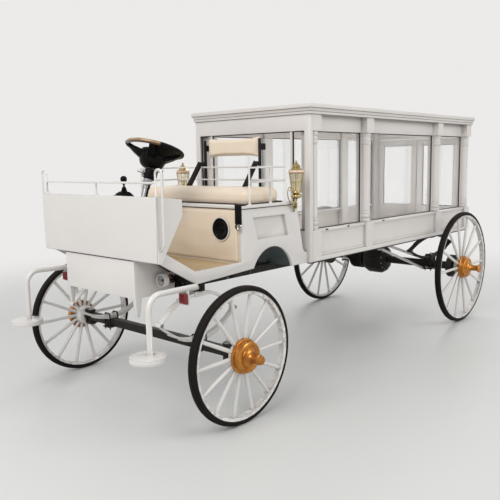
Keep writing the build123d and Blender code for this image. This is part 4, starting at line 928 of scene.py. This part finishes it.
helm_pieces += [turned(HELM_BOWL, 72), turned([(24, 0), (24, 4), (22, 5.5), (12, 6), (1, 6)], 40), switch_pad]
fitted(helm_pieces, "helm_bowl", "black_plastic", stands_for=["steering_wheel"], body="steering_wheel", at=HELM)
buttons = bolts([(mm(142 * math.cos(a), 142 * math.sin(a), -3), (-0.3, 0, 1), 1.3)
                 for a in map(math.radians, (78, 90, 102))])
fitted([buttons], "helm_buttons", "chrome", body="steering_wheel", at=HELM)
print("steering wheel", len(rim.data.polygons))

# %% [markdown]
# The steering column is a bright tube with a black strip along one side. Under the wheel
# sits the switch housing, silver on one half and black on the other, with a stalk at each end.
# A rubber bellows closes the hole in the sloping toe board.

# %% Steering column
toe_spot, toe_normal = marked("foot_floor", helm_centre, -helm_up)
column_foot = -(toe_spot - helm_centre).length / MM - 6
STALK = [(5, 0), (7.5, 3), (7.5, 20), (6, 23), (6.2, 26), (8.4, 30), (8.9, 70), (8.2, 94), (5, 99), (1, 100)]
BELLOWS = [(24, 2), (38, 4), (42, 8), (35, 13), (31, 16), (36, 21), (35, 25), (28, 29), (32, 34), (31, 38),
           (25, 42), (28, 46), (27, 50), (22, 54), (22, 60), (20.5, 62)]
tube = turned([(20, column_foot), (20, -262), (24, -258), (24, -234), (28, -228), (30, -196), (14, -190),
               (10, -150), (10, -129)], 40)
clamp_ring = turned([(20, -472), (25, -470), (25, -446), (20, -444)], 40)
fitted([tube, clamp_ring], "column_tube", "bare_steel", stands_for=["steering_column"], at=HELM)
key_barrel = turned([(11, 0), (11, 8), (9.5, 10), (4, 10), (4, 8)], 28,
                    at=Matrix.Translation(mm(32, -18, -168)) @ Z_TO_X)
silver_half = block(mm(-34, -31, -192), mm(34, -6, -140), 8, 4)
fitted([silver_half, key_barrel], "switch_housing_silver", "bare_steel", at=HELM)
black_half = block(mm(-38, -8, -200), mm(38, 40, -136), 8, 4)
# A black strip runs along one side of the column.
black_column_strip = block(mm(-7, 18, column_foot + 20), mm(7, 25, -216), 2)
fitted([black_half, black_column_strip], "switch_housing_black", "black_plastic", at=HELM)
for side, name in SIDES:
    stalk = turned(STALK, 24, at=HELM @ facing(mm(0, side * 28, -150), (0, side, 0.09)))
    fitted([stalk], "stalk_" + name, "white_paint")
    second_finish(stalk, "black_plastic", lambda c, n: abs(c.y) < 62 * MM or n.z < -0.35)
flange = turned([(52, -2), (52, 9), (50, 11), (40, 12), (30, 12)], 48, at=facing(toe_spot, toe_normal))
fitted([flange, turned(BELLOWS, 48, at=facing(toe_spot, helm_up))], "column_bellows", "black_plastic", "gasket")
print("column foot", round(column_foot))

# %% [markdown]
# The drive lever on the dash. A turned ball sits on a bar, the bar comes out of a short ribbed
# sleeve, and the sleeve grows out of a wide pleated boot with a frame around its foot.

# %% Drive lever
lever_low, lever_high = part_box("control_lever")
lever = (lever_low + lever_high) / 2
dash_spot, dash_normal = marked("dash_box", (lever.x, lever.y, lever_high.z + 0.1), (0, 0, -1))
knob_z = lever_high.z - 20 * MM
KNOB = [(6, -32), (9, -30), (9, -25), (13, -18), (17.5, -10), (20, 0), (18.6, 8), (14.5, 14.2), (8, 18.6), (1, 20)]
SLEEVE = [(21, -4), (21, 0), (17, 3), (19, 6), (15, 9), (17, 12), (13, 15), (15, 18), (11, 21), (12.5, 24), (9, 28),
          (6, 30)]
PLEATS = ((5, 0.98), (1.5, 0.93), (5, 0.90), (1.5, 1.06), (5, 0.82), (1.5, 1.07), (5, 0.74), (1.5, 1.08), (6, 0.6))
knob = turned(KNOB, 40, at=Matrix.Translation((lever.x, lever.y, knob_z)))
sleeve = turned(SLEEVE, 32, at=Matrix.Translation((lever.x, lever.y, dash_spot.z + 30 * MM)))
bar = swept([(lever.x, lever.y, dash_spot.z + 20 * MM), (lever.x, lever.y, knob_z - 24 * MM)], 5.5)
bpy.ops.mesh.primitive_plane_add(size=1.0)
boot = moved(bpy.context.object, Matrix.Diagonal((70 * MM, 106 * MM, 1, 1)))
edit(boot)
for rise, shrink in PLEATS:
    push_out(mm(0, 0, rise), (shrink, shrink, 1))
end_edit()
boot_edges = boot.modifiers.new("soft", "BEVEL")
boot_edges.width, boot_edges.segments = 1.2 * MM, 2
apply_modifiers(boot)
on_dash = [moved(piece, facing(dash_spot, dash_normal)) for piece in (boot, block(mm(-39, -57, -2), mm(39, 57, 4), 2))]
fitted([knob, sleeve, bar] + on_dash, "drive_lever", "black_plastic", stands_for=["control_lever"])
print("lever", round(knob_z, 3))

# %% [markdown]
# The two carriage lamps. Each is a six-sided glass that widens upward, held by turned brass
# above and below and by a rib at every corner, with a candle inside. A crown with a ball ends
# it, and a pair of scrolls and a round bar hold it to the side of the seat.

# %% Carriage lamps
lamp_low, lamp_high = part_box("carriage_lamps")
LAMP_HEIGHT, LAMP_REACH = 210 * MM, 53 * MM
GLASS_FOOT, GLASS_HEAD = (33.5, 4), (50, 127)
LAMP_FOOT = [(4, -108), (5, -104), (5, -78), (8, -74), (8, -71), (5, -67), (5, -46), (9, -43), (16, -40), (24, -37),
             (29, -33), (31, -28), (31, -21), (28, -17), (22, -14), (20, -10), (22, -6), (29, -3), (35, -1), (37, 1),
             (36, 4), (32, 5), (1, 5)]
LAMP_TOP = [(50, 126), (53, 127), (54, 129), (52, 131), (47, 132), (46, 145), (48, 147), (44, 150), (37, 153),
            (33, 156), (28, 160), (24, 164), (26, 168), (28, 172), (26, 176), (20, 181), (15, 187), (9, 190),
            (6, 194), (8, 198), (8.5, 202), (6, 206), (2.5, 209), (1, 210)]
LAMP_KNOB = [(4, 24), (4, 31), (7, 33), (10, 37), (10.5, 41), (9, 46), (5, 49), (1, 50)]
CANDLE = [(12, 5), (12, 9), (10, 10), (10, 62), (9, 64), (3, 65), (6, 74), (7, 82), (4.5, 94), (1, 102)]
HEXAGON = [(-math.sin(a), math.cos(a)) for a in (i * math.pi / 3 for i in range(6))]
lamp_x, lamp_glass_z = (lamp_low.x + lamp_high.x) / 2, lamp_high.z - LAMP_HEIGHT


def glass_corners(radius, height):
    """Places over the six corners of the glass, at a radius and a height in millimetres."""
    return [mm(x * radius, y * radius, height) for x, y in HEXAGON]


def lamp_scroll(points):
    """A scroll of brass that thins toward its curled end."""
    return swept([mm(*p) for p in points], 4.2, thinning=0.55)


for side, name in SIDES:
    lamp_place = Matrix.Translation((lamp_x, side * (lamp_high.y - LAMP_REACH), lamp_glass_z))
    shell = turned([GLASS_FOOT, GLASS_HEAD], 6)
    edit(shell)
    choose_faces(shell, lambda c, n: abs(n.z) > 0.9)
    bpy.ops.mesh.delete(type="ONLY_FACE")
    end_edit()
    add_wall(shell, 1.8)
    fitted([shell], "lamp_glass_" + name, "clear_glass", "lantern_glass", angle=20, at=lamp_place)
    brass = [turned(LAMP_FOOT, 40), turned(LAMP_TOP, 40)]
    brass += [swept(rib, 2.4) for rib in zip(glass_corners(*GLASS_FOOT), glass_corners(*GLASS_HEAD))]
    brass += [swept(glass_corners(*level), 1.6, closed=True) for level in ((34.5, 5.5), (42.2, 66), (50.5, 126))]
    brass += [turned(LAMP_KNOB, 24, at=facing(mm(0, 0, -25), (way, 0, 0))) for way in (1, -1)]
    inward = -21 * side
    brass.append(lamp_scroll([(0, inward, -128), (6, inward * 0.4, -124), (36, inward * 0.2, -112), (40, 0, -82),
                              (16, 0, -64), (4, 0, -46), (18, 0, -38), (26, 0, -50), (17, 0, -56)]))
    brass.append(lamp_scroll([(4, inward * 0.3, -92), (46, 0, -84), (84, 0, -52), (98, 0, -8), (88, 0, 34), (64, 0, 40),
                              (58, 0, 16), (74, 0, 6), (80, 0, 20)]))
    brass.append(swept([mm(0, inward, -100), mm(0, 0, -100)], 5))
    brass.append(turned([(18, 0), (18, 2.5), (15, 4.5), (8, 5), (8, 7), (1, 7)], 32,
                        at=facing(mm(0, inward, -100), (0, side, 0))))
    fitted(brass, "lamp_brass_" + name, "lamp_brass", stands_for=["carriage_lamps"], angle=40, at=lamp_place)
    # The band and its beads are pale pink, a painted highlight on the brass.
    band = turned([(45, 131), (51, 132), (52.5, 136), (52.5, 141), (50, 145), (45, 146)], 48)
    fitted([band, beads(24, 51.5, 146, 3)], "lamp_band_" + name, "lamp_brass", "pale_pink_painted_highlight", at=lamp_place)
    fitted([turned(CANDLE, 24)], "lamp_candle_" + name, "lamp_brass", "candle", at=lamp_place)
print("carriage lamps at", round(lamp_x, 3), round(lamp_glass_z, 3))

# %% [markdown]
# Head lamps and marker lamps. A head lamp is a copper shell with a chrome rim painted white as its
# reflection, a pale reflector and a domed clear front. A marker lamp is a ribbed red lens on a white plate with a stem.

# %% Head lamps and marker lamps
head_low, head_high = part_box("head_lamps")
head_y, head_z = head_high.y - 38 * MM, (head_low.z + head_high.z) / 2
HEAD_SHELL = [(25, -70), (26, -66), (27, -58), (31, -48), (35, -40), (36, -34), (30, -30)]
HEAD_RIM = [(32, -3), (33, 0), (36, 1.5), (38, -1), (38.5, -8), (37.5, -34), (35, -37), (34, -30), (33, -8)]
HEAD_BOWL = [(34, -30), (33, -6), (31, -8), (24, -16), (14, -22), (8, -24), (7, -12), (1, -10)]
HEAD_FRONT = [(33.5, -5), (33.5, -3), (30, -0.5), (20, 2), (10, 3.2), (1, 3.6)]
for side, name in SIDES:
    head_place = Matrix.Translation((head_high.x, side * head_y, head_z)) @ Z_TO_X
    fitted([turned(HEAD_SHELL, 40)], "head_shell_" + name, "chrome", "copper", at=head_place)
    back = [turned([(10, -92), (17, -90), (23, -84), (25, -78), (25, -70), (22, -68)], 40, at=head_place)]
    back += [turned([(26.5, z), (27.5, z + 1), (26.5, z + 2)], 40, at=head_place) for z in (-84, -79, -74)]
    back.append(block((head_low.x + 4 * MM, side * (head_y - 52 * MM), head_z - 6 * MM),
                      (head_high.x - 44 * MM, side * (head_y - 20 * MM), head_z + 6 * MM), 2))
    fitted(back, "head_back_" + name, "black_plastic", stands_for=["head_lamps"])
    # The chrome rim is given white paint: a painted reflection of the pale room.
    fitted([turned(HEAD_RIM, 56, ring=True)], "head_rim_painted_reflection_" + name, "chrome", "white_paint", at=head_place)
    bowl = fitted([turned(HEAD_BOWL, 48)], "head_reflector_" + name, "chrome", "white_paint", at=head_place)
    second_finish(bowl, "black_plastic", lambda c, n: math.hypot(abs(c.y) - head_y, c.z - head_z) < 8.2 * MM)
    fitted([turned(HEAD_FRONT, 48)], "head_lens_" + name, "clear_glass", "lens_glass", at=head_place)

MARKER_RIBS, RIB_STEP = 6, 8.8
for low, high in [b for b in solids_of("marker_lamps") if (b[1] - b[0]).y > 0.02][:2]:
    name = "left" if low.y > 0 else "right"
    plate_x, mid_y = low.x + 5 * MM, (low.y + high.y) / 2
    lens_low = low + mm(5, 4, 8)
    lens_high = Vector((high.x, high.y - 4 * MM, low.z + 68 * MM))
    plate = block(low, (plate_x, high.y, lens_high.z + 8 * MM), 1.5)
    stem = block((low.x, mid_y - 9 * MM, lens_high.z), (plate_x - 0.5 * MM, mid_y + 9 * MM, high.z + 2 * MM), 1.5)
    fitted([plate, stem], "marker_plate_" + name, "white_paint", stands_for=["marker_lamps"])
    lens = [block(lens_low, lens_high - mm(4, 0, 0), 5, 4)]
    for i in range(MARKER_RIBS):
        y = lens_low.y + (8 + i * RIB_STEP) * MM
        lens.append(block((lens_high.x - 8 * MM, y - 2 * MM, lens_low.z + 6 * MM),
                          (lens_high.x - 1 * MM, y + 2 * MM, lens_high.z - 6 * MM), 1.5))
    fitted(lens, "marker_lens_" + name, "red_lens")
print("head lamps", round(head_high.x, 3))

# %% [markdown]
# The speaker in the seat front: a flange, a white trim ring, a rounded surround and a deep cone
# with a dome in its middle. Beside it hangs the strap, with rows of stitches along both edges and
# a bright ring in its loop.

# %% Speaker and strap
FLANGE = [(52, -12), (70, -12), (70, -1), (68, 0.6), (62, 0.6), (59, -1), (56, -3), (52, -5)]
CONE = [(56, -14), (56, -5), (54, -2), (50.5, -0.6), (47, -2), (45, -5), (42, -6), (34, -10), (22, -13), (19, -13),
        (17, -10), (12, -7.5), (6, -6.4), (1, -6)]
TRIM = [(69, -6), (69.5, 1), (72, 2.4), (75.5, 1), (77, -6)]
speaker_place = Matrix.Translation((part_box("speaker")[1].x, speaker_middle.y, speaker_middle.z)) @ Z_TO_X
fitted([turned(FLANGE, 72, ring=True), turned(CONE, 72)], "speaker_cone", "black_plastic", stands_for=["speaker"],
       at=speaker_place)
fitted([turned(TRIM, 72, ring=True)], "speaker_trim", "white_paint", at=speaker_place)

STRAP_WIDER, STITCHES_A_SIDE = 1.38, 11
strap = softened("seat_strap", 0.8, "black_leather")
strap_low, strap_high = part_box("seat_strap")
strap_y = strap_high.y - 16 * MM
for vertex in strap.data.vertices:
    vertex.co.y = strap_y + 6 * MM + (vertex.co.y - strap_y) * STRAP_WIDER
seat_low, seat_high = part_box("seat_board")
strap_end_z = seat_high.z - 112 * MM
ring_r = (strap_end_z - 4 * MM - strap_low.z) / 2
ring_place = Vector((strap_high.x - 8 * MM, strap_y + 6 * MM, strap_end_z - ring_r))
loop = [ring_place + Vector((0, math.sin(a), math.cos(a))) * ring_r for a in (i * math.pi / 12 for i in range(24))]
fitted([swept(loop, 5, closed=True)], "strap_ring", "chrome", angle=60)
stitches = []
for edge in (-17, 17):
    for i in range(STITCHES_A_SIDE):
        top = Vector((strap_high.x, strap_y, seat_high.z - (14 + i * 9) * MM))
        stitches.append(block(top + mm(-0.4, edge + 5.2, -5), top + mm(0.6, edge + 6.8, 0), 0.3, 1))
for i in range(2):
    end = Vector((strap_high.x, strap_y, strap_end_z + i * 22 * MM))
    stitches.append(block(end + mm(-1, -15, 4), end + mm(2, 27, 7), 0.8))
fitted(stitches, "strap_stitching", "black_leather")
print("stitches", len(stitches))

# %% [markdown]
# Leather on the toe board and a mat on the floor. The sloping board wears the same slack cream
# leather as the seat front, made as a grid on the slope, pushed out by waves and rounded at its
# rim. The mat is a thin ribbed sheet that ends where the slope begins.

# %% Toe board leather and floor mat
slope_up = Vector((toe_normal.z, 0, -toe_normal.x))
floor_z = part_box("seat_riser")[0].z
floor_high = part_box("foot_floor")[1]
slope_foot = toe_spot + slope_up * ((floor_z - toe_spot.z) / slope_up.z + 10 * MM)
slope_length = (floor_high.z - floor_z) / slope_up.z - 30 * MM
bpy.ops.mesh.primitive_grid_add(x_subdivisions=40, y_subdivisions=150, size=1.0)
toe_pad = bpy.context.object
for vertex in toe_pad.data.vertices:
    along, across = vertex.co.x + 0.5, vertex.co.y * (2 * floor_high.y - 24 * MM)
    from_edge = min(along * slope_length, (1 - along) * slope_length, floor_high.y - 12 * MM - abs(across))
    waves = math.sin(across * 17 + math.sin(along * 9) * 1.4) + math.sin(along * 12 + math.sin(across * 8) * 2)
    height = (1.2 + round_off(from_edge / (18 * MM)) * (6.0 + 0.8 * waves)) * MM
    vertex.co = slope_foot + slope_up * along * slope_length + toe_normal * height
    vertex.co.y = across
add_wall(toe_pad, 2)
fitted([toe_pad], "toe_leather", "cream_leather", angle=60)

MAT_RIBS = 22
mat_x, mat_end, mat_y = riser_high.x + 6 * MM, slope_foot.x, floor_high.y - 14 * MM
mat = [block((mat_x, -mat_y, floor_z), (mat_end - 16 * MM, mat_y, floor_z + 4.5 * MM), 1.5)]
for i in range(MAT_RIBS):
    y = (2 * (i + 0.5) / MAT_RIBS - 1) * (floor_high.y - 30 * MM)
    mat.append(block((mat_x + 14 * MM, y - 7 * MM, floor_z + 3 * MM),
                     (mat_end - 30 * MM, y + 7 * MM, floor_z + 6.2 * MM), 1.2))
fitted(mat, "ribbed_floor_mat", "cream_leather", "floor_mat")
print("toe leather", round(slope_length, 3))

# %% [markdown]
# Rubber and shadow lines. Each pane sits in a black rubber bead, which is what draws the thin
# dark frame around the glass. Black strips also lie above and below the bench board, over the locker,
# under the case floor and along the underside of the sloping toe board. Those under the front and
# sides of the bench board and the one along the dash's lower edge over the locker are painted shadow.

# %% Gaskets, and black strips and painted shadow in the joints
PANES = {"side_glass": (0, "carriage"), "front_glass": (1, "carriage"),
         "door_glass_left": (1, "rear_door_left"), "door_glass_right": (1, "rear_door_right")}
GASKET_INSET = 2.5 * MM
for node, (wide_axis, body) in PANES.items():
    loops = []
    for low, high in solids_of(node):
        corners = []
        for a, b in ((low, low), (high, low), (high, high), (low, high)):
            corner = (low + high) / 2
            corner[wide_axis] = a[wide_axis] + (GASKET_INSET if a is low else -GASKET_INSET)
            corner.z = b.z + (GASKET_INSET if b is low else -GASKET_INSET)
            corners.append(corner)
        loops.append(swept(corners, 5.5, closed=True))
    fitted(loops, node + "_gasket", "black_plastic", "gasket", body=body)

body_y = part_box("body_sides")[1].y
riser_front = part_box("seat_riser")[1].x
dash_low, dash_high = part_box("dash_box")
locker_low, locker_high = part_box("front_locker")
# Painted shadow: black strips under the bench board's front and along the dash's lower edge.
strips = [block((riser_front - 2 * MM, -body_y, seat_low.z - 6 * MM),
                (riser_front + 2 * MM, body_y, seat_low.z + 1 * MM), 0.6),
          block((locker_high.x - 4 * MM, locker_low.y + 4 * MM, dash_low.z - 5 * MM),
                (locker_high.x + 2.5 * MM, locker_high.y - 4 * MM, dash_low.z + 1 * MM), 0.8)]
back_x, front_x = cushion_low.x + 8 * MM, cushion_high.x - 5 * MM
right_y, left_y = cushion_low.y + 8 * MM, cushion_high.y - 6 * MM
strips.append(swept([(x, y, cushion_low.z + 3.5 * MM) for x, y in (
    (back_x, right_y), (front_x, right_y), (front_x, left_y), (back_x, left_y))], 4.5, closed=True))
for s in (1, -1):
    # Painted shadow under the overhang of the bench board's sides.
    strips.append(block((seat_low.x + 4 * MM, s * (body_y - 2 * MM), seat_low.z - 5.5 * MM),
                        (riser_front, s * (body_y + 1.6 * MM), seat_low.z + 1 * MM), 0.6))
    strips.append(block((case_low.x + 8 * MM, s * (case_high.y - 3 * MM), case_low.z - 9 * MM),
                        (case_high.x + 30 * MM, s * (case_high.y - 34 * MM), case_low.z + 1 * MM), 1.5))
    under = [marked("foot_floor", (x, s * (locker_high.y + 3 * MM), 0.6), (0, 0, 1))[0] for x in
             (slope_foot.x + 0.02, dash_low.x + 0.10, locker_high.x - 0.075)]
    strips.append(swept([p - mm(0, 0, 1.5) for p in under if p], 4.5))
fitted(strips, "joint_and_painted_shadow_strips", "black_plastic", "gasket")
print("gaskets", len(PANES), "strips", len(strips))

# %% [markdown]
# Fine lines of the case. Grey lines under the steps of the cornice and near both ends of every
# column are painted shade, where the real grooves lie in shadow; round black plugs sit in the sills,
# and every column has a turned bead. The lines could be painted on, but a line in relief stays sharp
# at any distance, so thin rods and rings are laid on the wood. A column's upper end is its lower end mirrored.

# %% Cornice shade lines, sill plugs and column rings
roof_low, roof_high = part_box("case_roof")
wall_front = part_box("case_front_wall")[1].x
cornice_shade_lines = []
# Each line lies just under an overhanging step of the cornice, as painted shade.
for share, out in ((0.0, 1.5), (0.28, 10.2), (0.6, 18.6)):
    z = roof_low.z + share * (roof_high.z - roof_low.z) - 1 * MM
    x0, x1, y = case_low.x - out * MM, wall_front + out * MM, case_high.y + out * MM
    cornice_shade_lines.append(swept([(x0, -y, z), (x1, -y, z), (x1, y, z), (x0, y, z)], 1.9, closed=True))
fitted(cornice_shade_lines, "cornice_painted_shade", "white_wood", "painted_groove_shade")

plugs = []
left_bays = sorted((b for b in solids_of("case_side_panels") if b[1].y > 0), key=lambda b: -b[1].x)
for (low, high), share in ((left_bays[0], 0.865), (left_bays[0], 0.395), (left_bays[1], 0.84)):
    place = (low.x + (high.x - low.x) * share, high.y, high.z - 7 * MM)
    plugs.append(turned([(17, -1), (17, 1), (14, 2), (11, 1.2), (1, 1.2)], 36,
                        at=facing(place, (0, 1, 0)) @ Matrix.Diagonal((1, 0.34, 1, 1))))
fitted(plugs, "sill_plugs", "black_plastic", "gasket")

COLUMN_BEAD = [(38, 66), (44, 68), (46, 75), (44, 82), (38, 84)]
COLUMN_SHADE_LINES = ((44, 3), (40.5, 58), (41, 88))
columns = sorted({(round((b[0].x + b[1].x) / 2, 4), round((b[0].y + b[1].y) / 2, 4)) for b in solids_of("case_posts")})
column_low, column_high = left_bays[0][1].z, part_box("case_frieze")[0].z
column_beads, column_shade_lines = [], []
for x, y in columns:
    column_y = math.copysign(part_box("case_posts")[1].y - 50 * MM, y)
    for end_z, way in ((column_low, 1), (column_high, -1)):
        flip = Matrix.Translation((x, column_y, end_z)) @ Matrix.Diagonal((1, 1, way, 1))
        column_beads.append(turned(COLUMN_BEAD, 40, ring=True, at=flip))
        column_shade_lines += [turned([(r - 3, up), (r, up + 2), (r - 3, up + 4)], 40, ring=True, at=flip)
                         for r, up in COLUMN_SHADE_LINES]
fitted(column_beads, "column_beads", "white_wood")
# The thin lines near the column ends are painted shade.
fitted(column_shade_lines, "column_shade_lines", "white_wood", "painted_groove_shade")
print("columns", len(columns))

# %% [markdown]
# Iron fittings. U-bolts straddle the springs and clamp them to the axles through plates, bolts go
# through the spring eyes, and caps close the kingpins. The drive has cooling fins, a box for
# its terminals and a ring of bolts on the gear case.

# %% Spring clamps and axle fittings
KINGPIN_Y, STEERING_ARM, ARM_UNDERSIDE_Z = 680 * MM, 160 * MM, 0.3225
KINGPIN_CAP = [(24, 51), (24, 54), (21, 57), (15, 59), (6, 60), (6, 64), (4, 66), (4, 70), (2, 72), (1, 72)]
irons, spots = [], []
rear_z, front_z = middle("tyre_rear_left")[0].z, middle("tyre_front_left")[0].z
for node, axle_x, reach, under_z in (("rear_springs", rear_axle_x, 43, rear_z - 41 * MM),
                                     ("front_springs", front_axle_x, 33, front_z - 28 * MM)):
    for low, high in solids_of(node):
        mid_y, top_z = (low.y + high.y) / 2, low.z + 36 * MM
        for dx in (-reach, reach):
            x = axle_x + dx * MM
            legs = ((-28, under_z - 20 * MM), (-28, top_z - 10 * MM), (-18, top_z),
                    (18, top_z), (28, top_z - 10 * MM), (28, under_z - 20 * MM))
            irons.append(swept([(x, mid_y + dy * MM, z) for dy, z in legs], 5))
            spots += [((x, mid_y + s * 28 * MM, under_z - 6 * MM), (0, 0, -1), 1.25) for s in (-1, 1)]
        clamp = Vector((axle_x, mid_y, under_z))
        irons.append(block(clamp - mm(reach + 13, 40, 6), clamp + mm(reach + 13, 40, 2), 2))
        eye_z = (low.z + high.z) / 2 - 3 * MM
        for x in (low.x + 14 * MM, high.x - 14 * MM):
            spots += [((x, mid_y + s * 22 * MM, eye_z), (0, s, 0), 1.5) for s in (-1, 1)]
fitted(irons, "spring_u_bolts", "black_paint")
frame_low, frame_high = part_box("chassis_frame")
for share in (0.02, 0.29, 0.62, 0.88, 0.985):
    x = frame_low.x + (frame_high.x - frame_low.x) * share
    for s in (-1, 1):
        for z in (frame_low.z + 13 * MM, frame_low.z + 37 * MM):
            place, normal = marked("chassis_frame", (x, s * 0.7, z), (0, -s, 0))
            if place and abs(normal.y) > 0.9:
                spots.append((place, normal, 1.1))
for low, high in solids_of("radius_rods"):
    s = 1 if low.y > 0 else -1
    y = s * (min(abs(low.y), abs(high.y)) + 30 * MM)
    spots += [((high.x - 15 * MM, y, high.z - drop * MM), (0, s, 0), 1.6) for drop in (14, 62)]
fitted([bolts(spots)], "frame_and_spring_bolts", "bare_steel")


def round_axle(count, radius, start):
    """Places on a circle round the rear axle, as (x, z), the first one at an angle in radians."""
    angles = (2 * math.pi * i / count + start for i in range(count))
    return [(rear_axle_x + radius * MM * math.cos(a), rear_z + radius * MM * math.sin(a)) for a in angles]


gear = [marked("rear_axle", (x, 0.3, z), (0, -1, 0)) for x, z in round_axle(12, 108, 0.26)]
motor_low, motor_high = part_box("drive_motor")
motor_r = (motor_high.z - motor_low.z) / 2
motor_end = Matrix.Translation((rear_axle_x, motor_low.y, rear_z)) @ Matrix.Rotation(-math.pi / 2, 4, "X")
fin_foot, fin_edge = motor_r / MM - 2, motor_r / MM + 4
fins = [turned([(fin_foot, z), (fin_edge, z + 0.5), (fin_edge, z + 3), (fin_foot, z + 3.5)], 64, at=motor_end)
        for z in range(11, 111, 11)]
motor_top = Vector((rear_axle_x, motor_low.y, rear_z + motor_r))
terminals = block(motor_top + mm(20, 34, -26), motor_top + mm(92, 110, 6), 4, 3)
fitted(fins + [terminals], "motor_fins", "bare_steel", "black_paint")
drive_spots = [(place, normal, 1.0) for place, normal in gear if place]
drive_spots += [((x, motor_low.y, z), (0, -1, 0), 0.9) for x, z in round_axle(8, 88, 0.39)]
fitted([bolts(drive_spots)], "drive_bolts", "bare_steel")

for side, name in SIDES:
    pin = Vector((front_axle_x, side * KINGPIN_Y, front_z))
    caps = [turned(KINGPIN_CAP, 32, at=facing(pin, (0, 0, up))) for up in (1, -1)]
    caps.append(bolts([((pin.x - STEERING_ARM, pin.y, ARM_UNDERSIDE_Z), (0, 0, -1), 1.3)]))
    fitted(caps, "kingpin_caps_" + name, "bare_steel", body="knuckle_" + name)
print("irons", len(spots))

# %% [markdown]
# Door furniture, step pads and rail feet. A turned rose marks the pull of each rear door, small
# screws hold the hinge leaves, thick round pads cover the steps, and posts of the rails stand on
# turned feet. All of them are turned or bolted on, at places read from the measured parts.

# %% Door furniture, step pads and rail feet
SCREW = 0.45
STEP_PAD = [(90, -2.5), (96, 0), (99, 6), (99.5, 14), (97, 21), (90, 25.5), (76, 28), (40, 29), (1, 29.3)]
RAIL_FOOT = [(15, -0.5), (15, 2), (13, 3.5), (8.5, 5), (8, 12), (6.2, 13)]
door_face = case_low.x
rose_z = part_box("case_side_panels")[1].z + 92 * MM
hinges = solids_of("door_hinges")
hinge_zs = sorted({round((low.z + high.z) / 2, 4) for low, high in hinges})
for side, name in SIDES:
    second_finish(bpy.data.objects[f"door_{name}_dressed"], "lamp_brass", lambda c, n: c.x < door_face - 0.6 * MM)
    rose = turned([(15, -0.5), (15, 1.5), (12, 3), (5, 3), (4, 1.5), (1, 1.5)], 32,
                  at=facing((door_face, side * 33 * MM, rose_z), (-1, 0, 0)) @ Matrix.Diagonal((0.8, 1.3, 1, 1)))
    pin_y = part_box("door_" + name)[1 if side > 0 else 0].y
    screws = bolts([((door_face - 3 * MM, pin_y - side * 30 * MM, z + dz * MM), (-1, 0, 0), SCREW)
                    for z in hinge_zs for dz in (-8, 8)])
    fitted([rose, screws], "door_rose_" + name, "lamp_brass", body="rear_door_" + name)
post_screws = []
for low, high in hinges:
    outer = high.y if high.y > 0 else low.y
    y = outer - math.copysign(12 * MM, outer)
    post_screws += [((low.x + 11 * MM, y, (low.z + high.z) / 2 + dz * MM), (-1, 0, 0), SCREW) for dz in (-23, 23)]
fitted([bolts(post_screws)], "hinge_screws", "lamp_brass")

step_low, step_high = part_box("steps")
for side, name in SIDES:
    place = (step_high.x - 98 * MM, side * (step_high.y - 98 * MM), step_low.z)
    fitted([turned(STEP_PAD, 72)], "step_pad_" + name, "white_paint", angle=50, at=Matrix.Translation(place))
rail_low, rail_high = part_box("seat_rail")
feet = []
for x, y in ((rail_high.x - 6 * MM, rail_high.y - 6 * MM), (rail_high.x - 206 * MM, rail_high.y - 6 * MM),
             (rail_low.x + 6 * MM, 200 * MM)):
    feet += [turned(RAIL_FOOT, 28, at=Matrix.Translation((x, s * y, seat_high.z))) for s in (1, -1)]
for y in (0, dash_high.y - 24 * MM, -dash_high.y + 24 * MM):
    place, normal = marked("dash_box", (dash_high.x - 24 * MM, y, dash_high.z + 0.05), (0, 0, -1))
    feet.append(turned(RAIL_FOOT, 28, at=facing(place, normal)))
fitted(feet, "rail_feet", "white_paint")
print("hinge screws", len(post_screws))

# %% [markdown]
# The backrest hangs on two black straps. Each is a broad flat bar, screwed to the seat board in
# front of the gallery and leaning back to the pad, with a pair of bolts near its upper end.

# %% Broad straps of the backrest
bracket_low, bracket_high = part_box("backrest_brackets")
strap_bars = []
for side, name in SIDES:
    y = side * (bracket_high.y + 1.5 * MM)
    foot = Vector((bracket_high.x - 16 * MM, y, seat_high.z + 2 * MM))
    head = Vector((bracket_low.x + 106 * MM, y, seat_high.z + 262 * MM))
    run = head - foot
    strap_bars.append(moved(block(mm(-1.6, -23, 0), mm(1.6, 23, run.length / MM), 0.8), facing(foot, run)))
    strap_bars.append(bolts([(head - run * t, (0, side, 0), 0.9) for t in (0.06, 0.16)]))
fitted(strap_bars, "backrest_straps", "black_paint")
print("straps", round(run.length, 3))
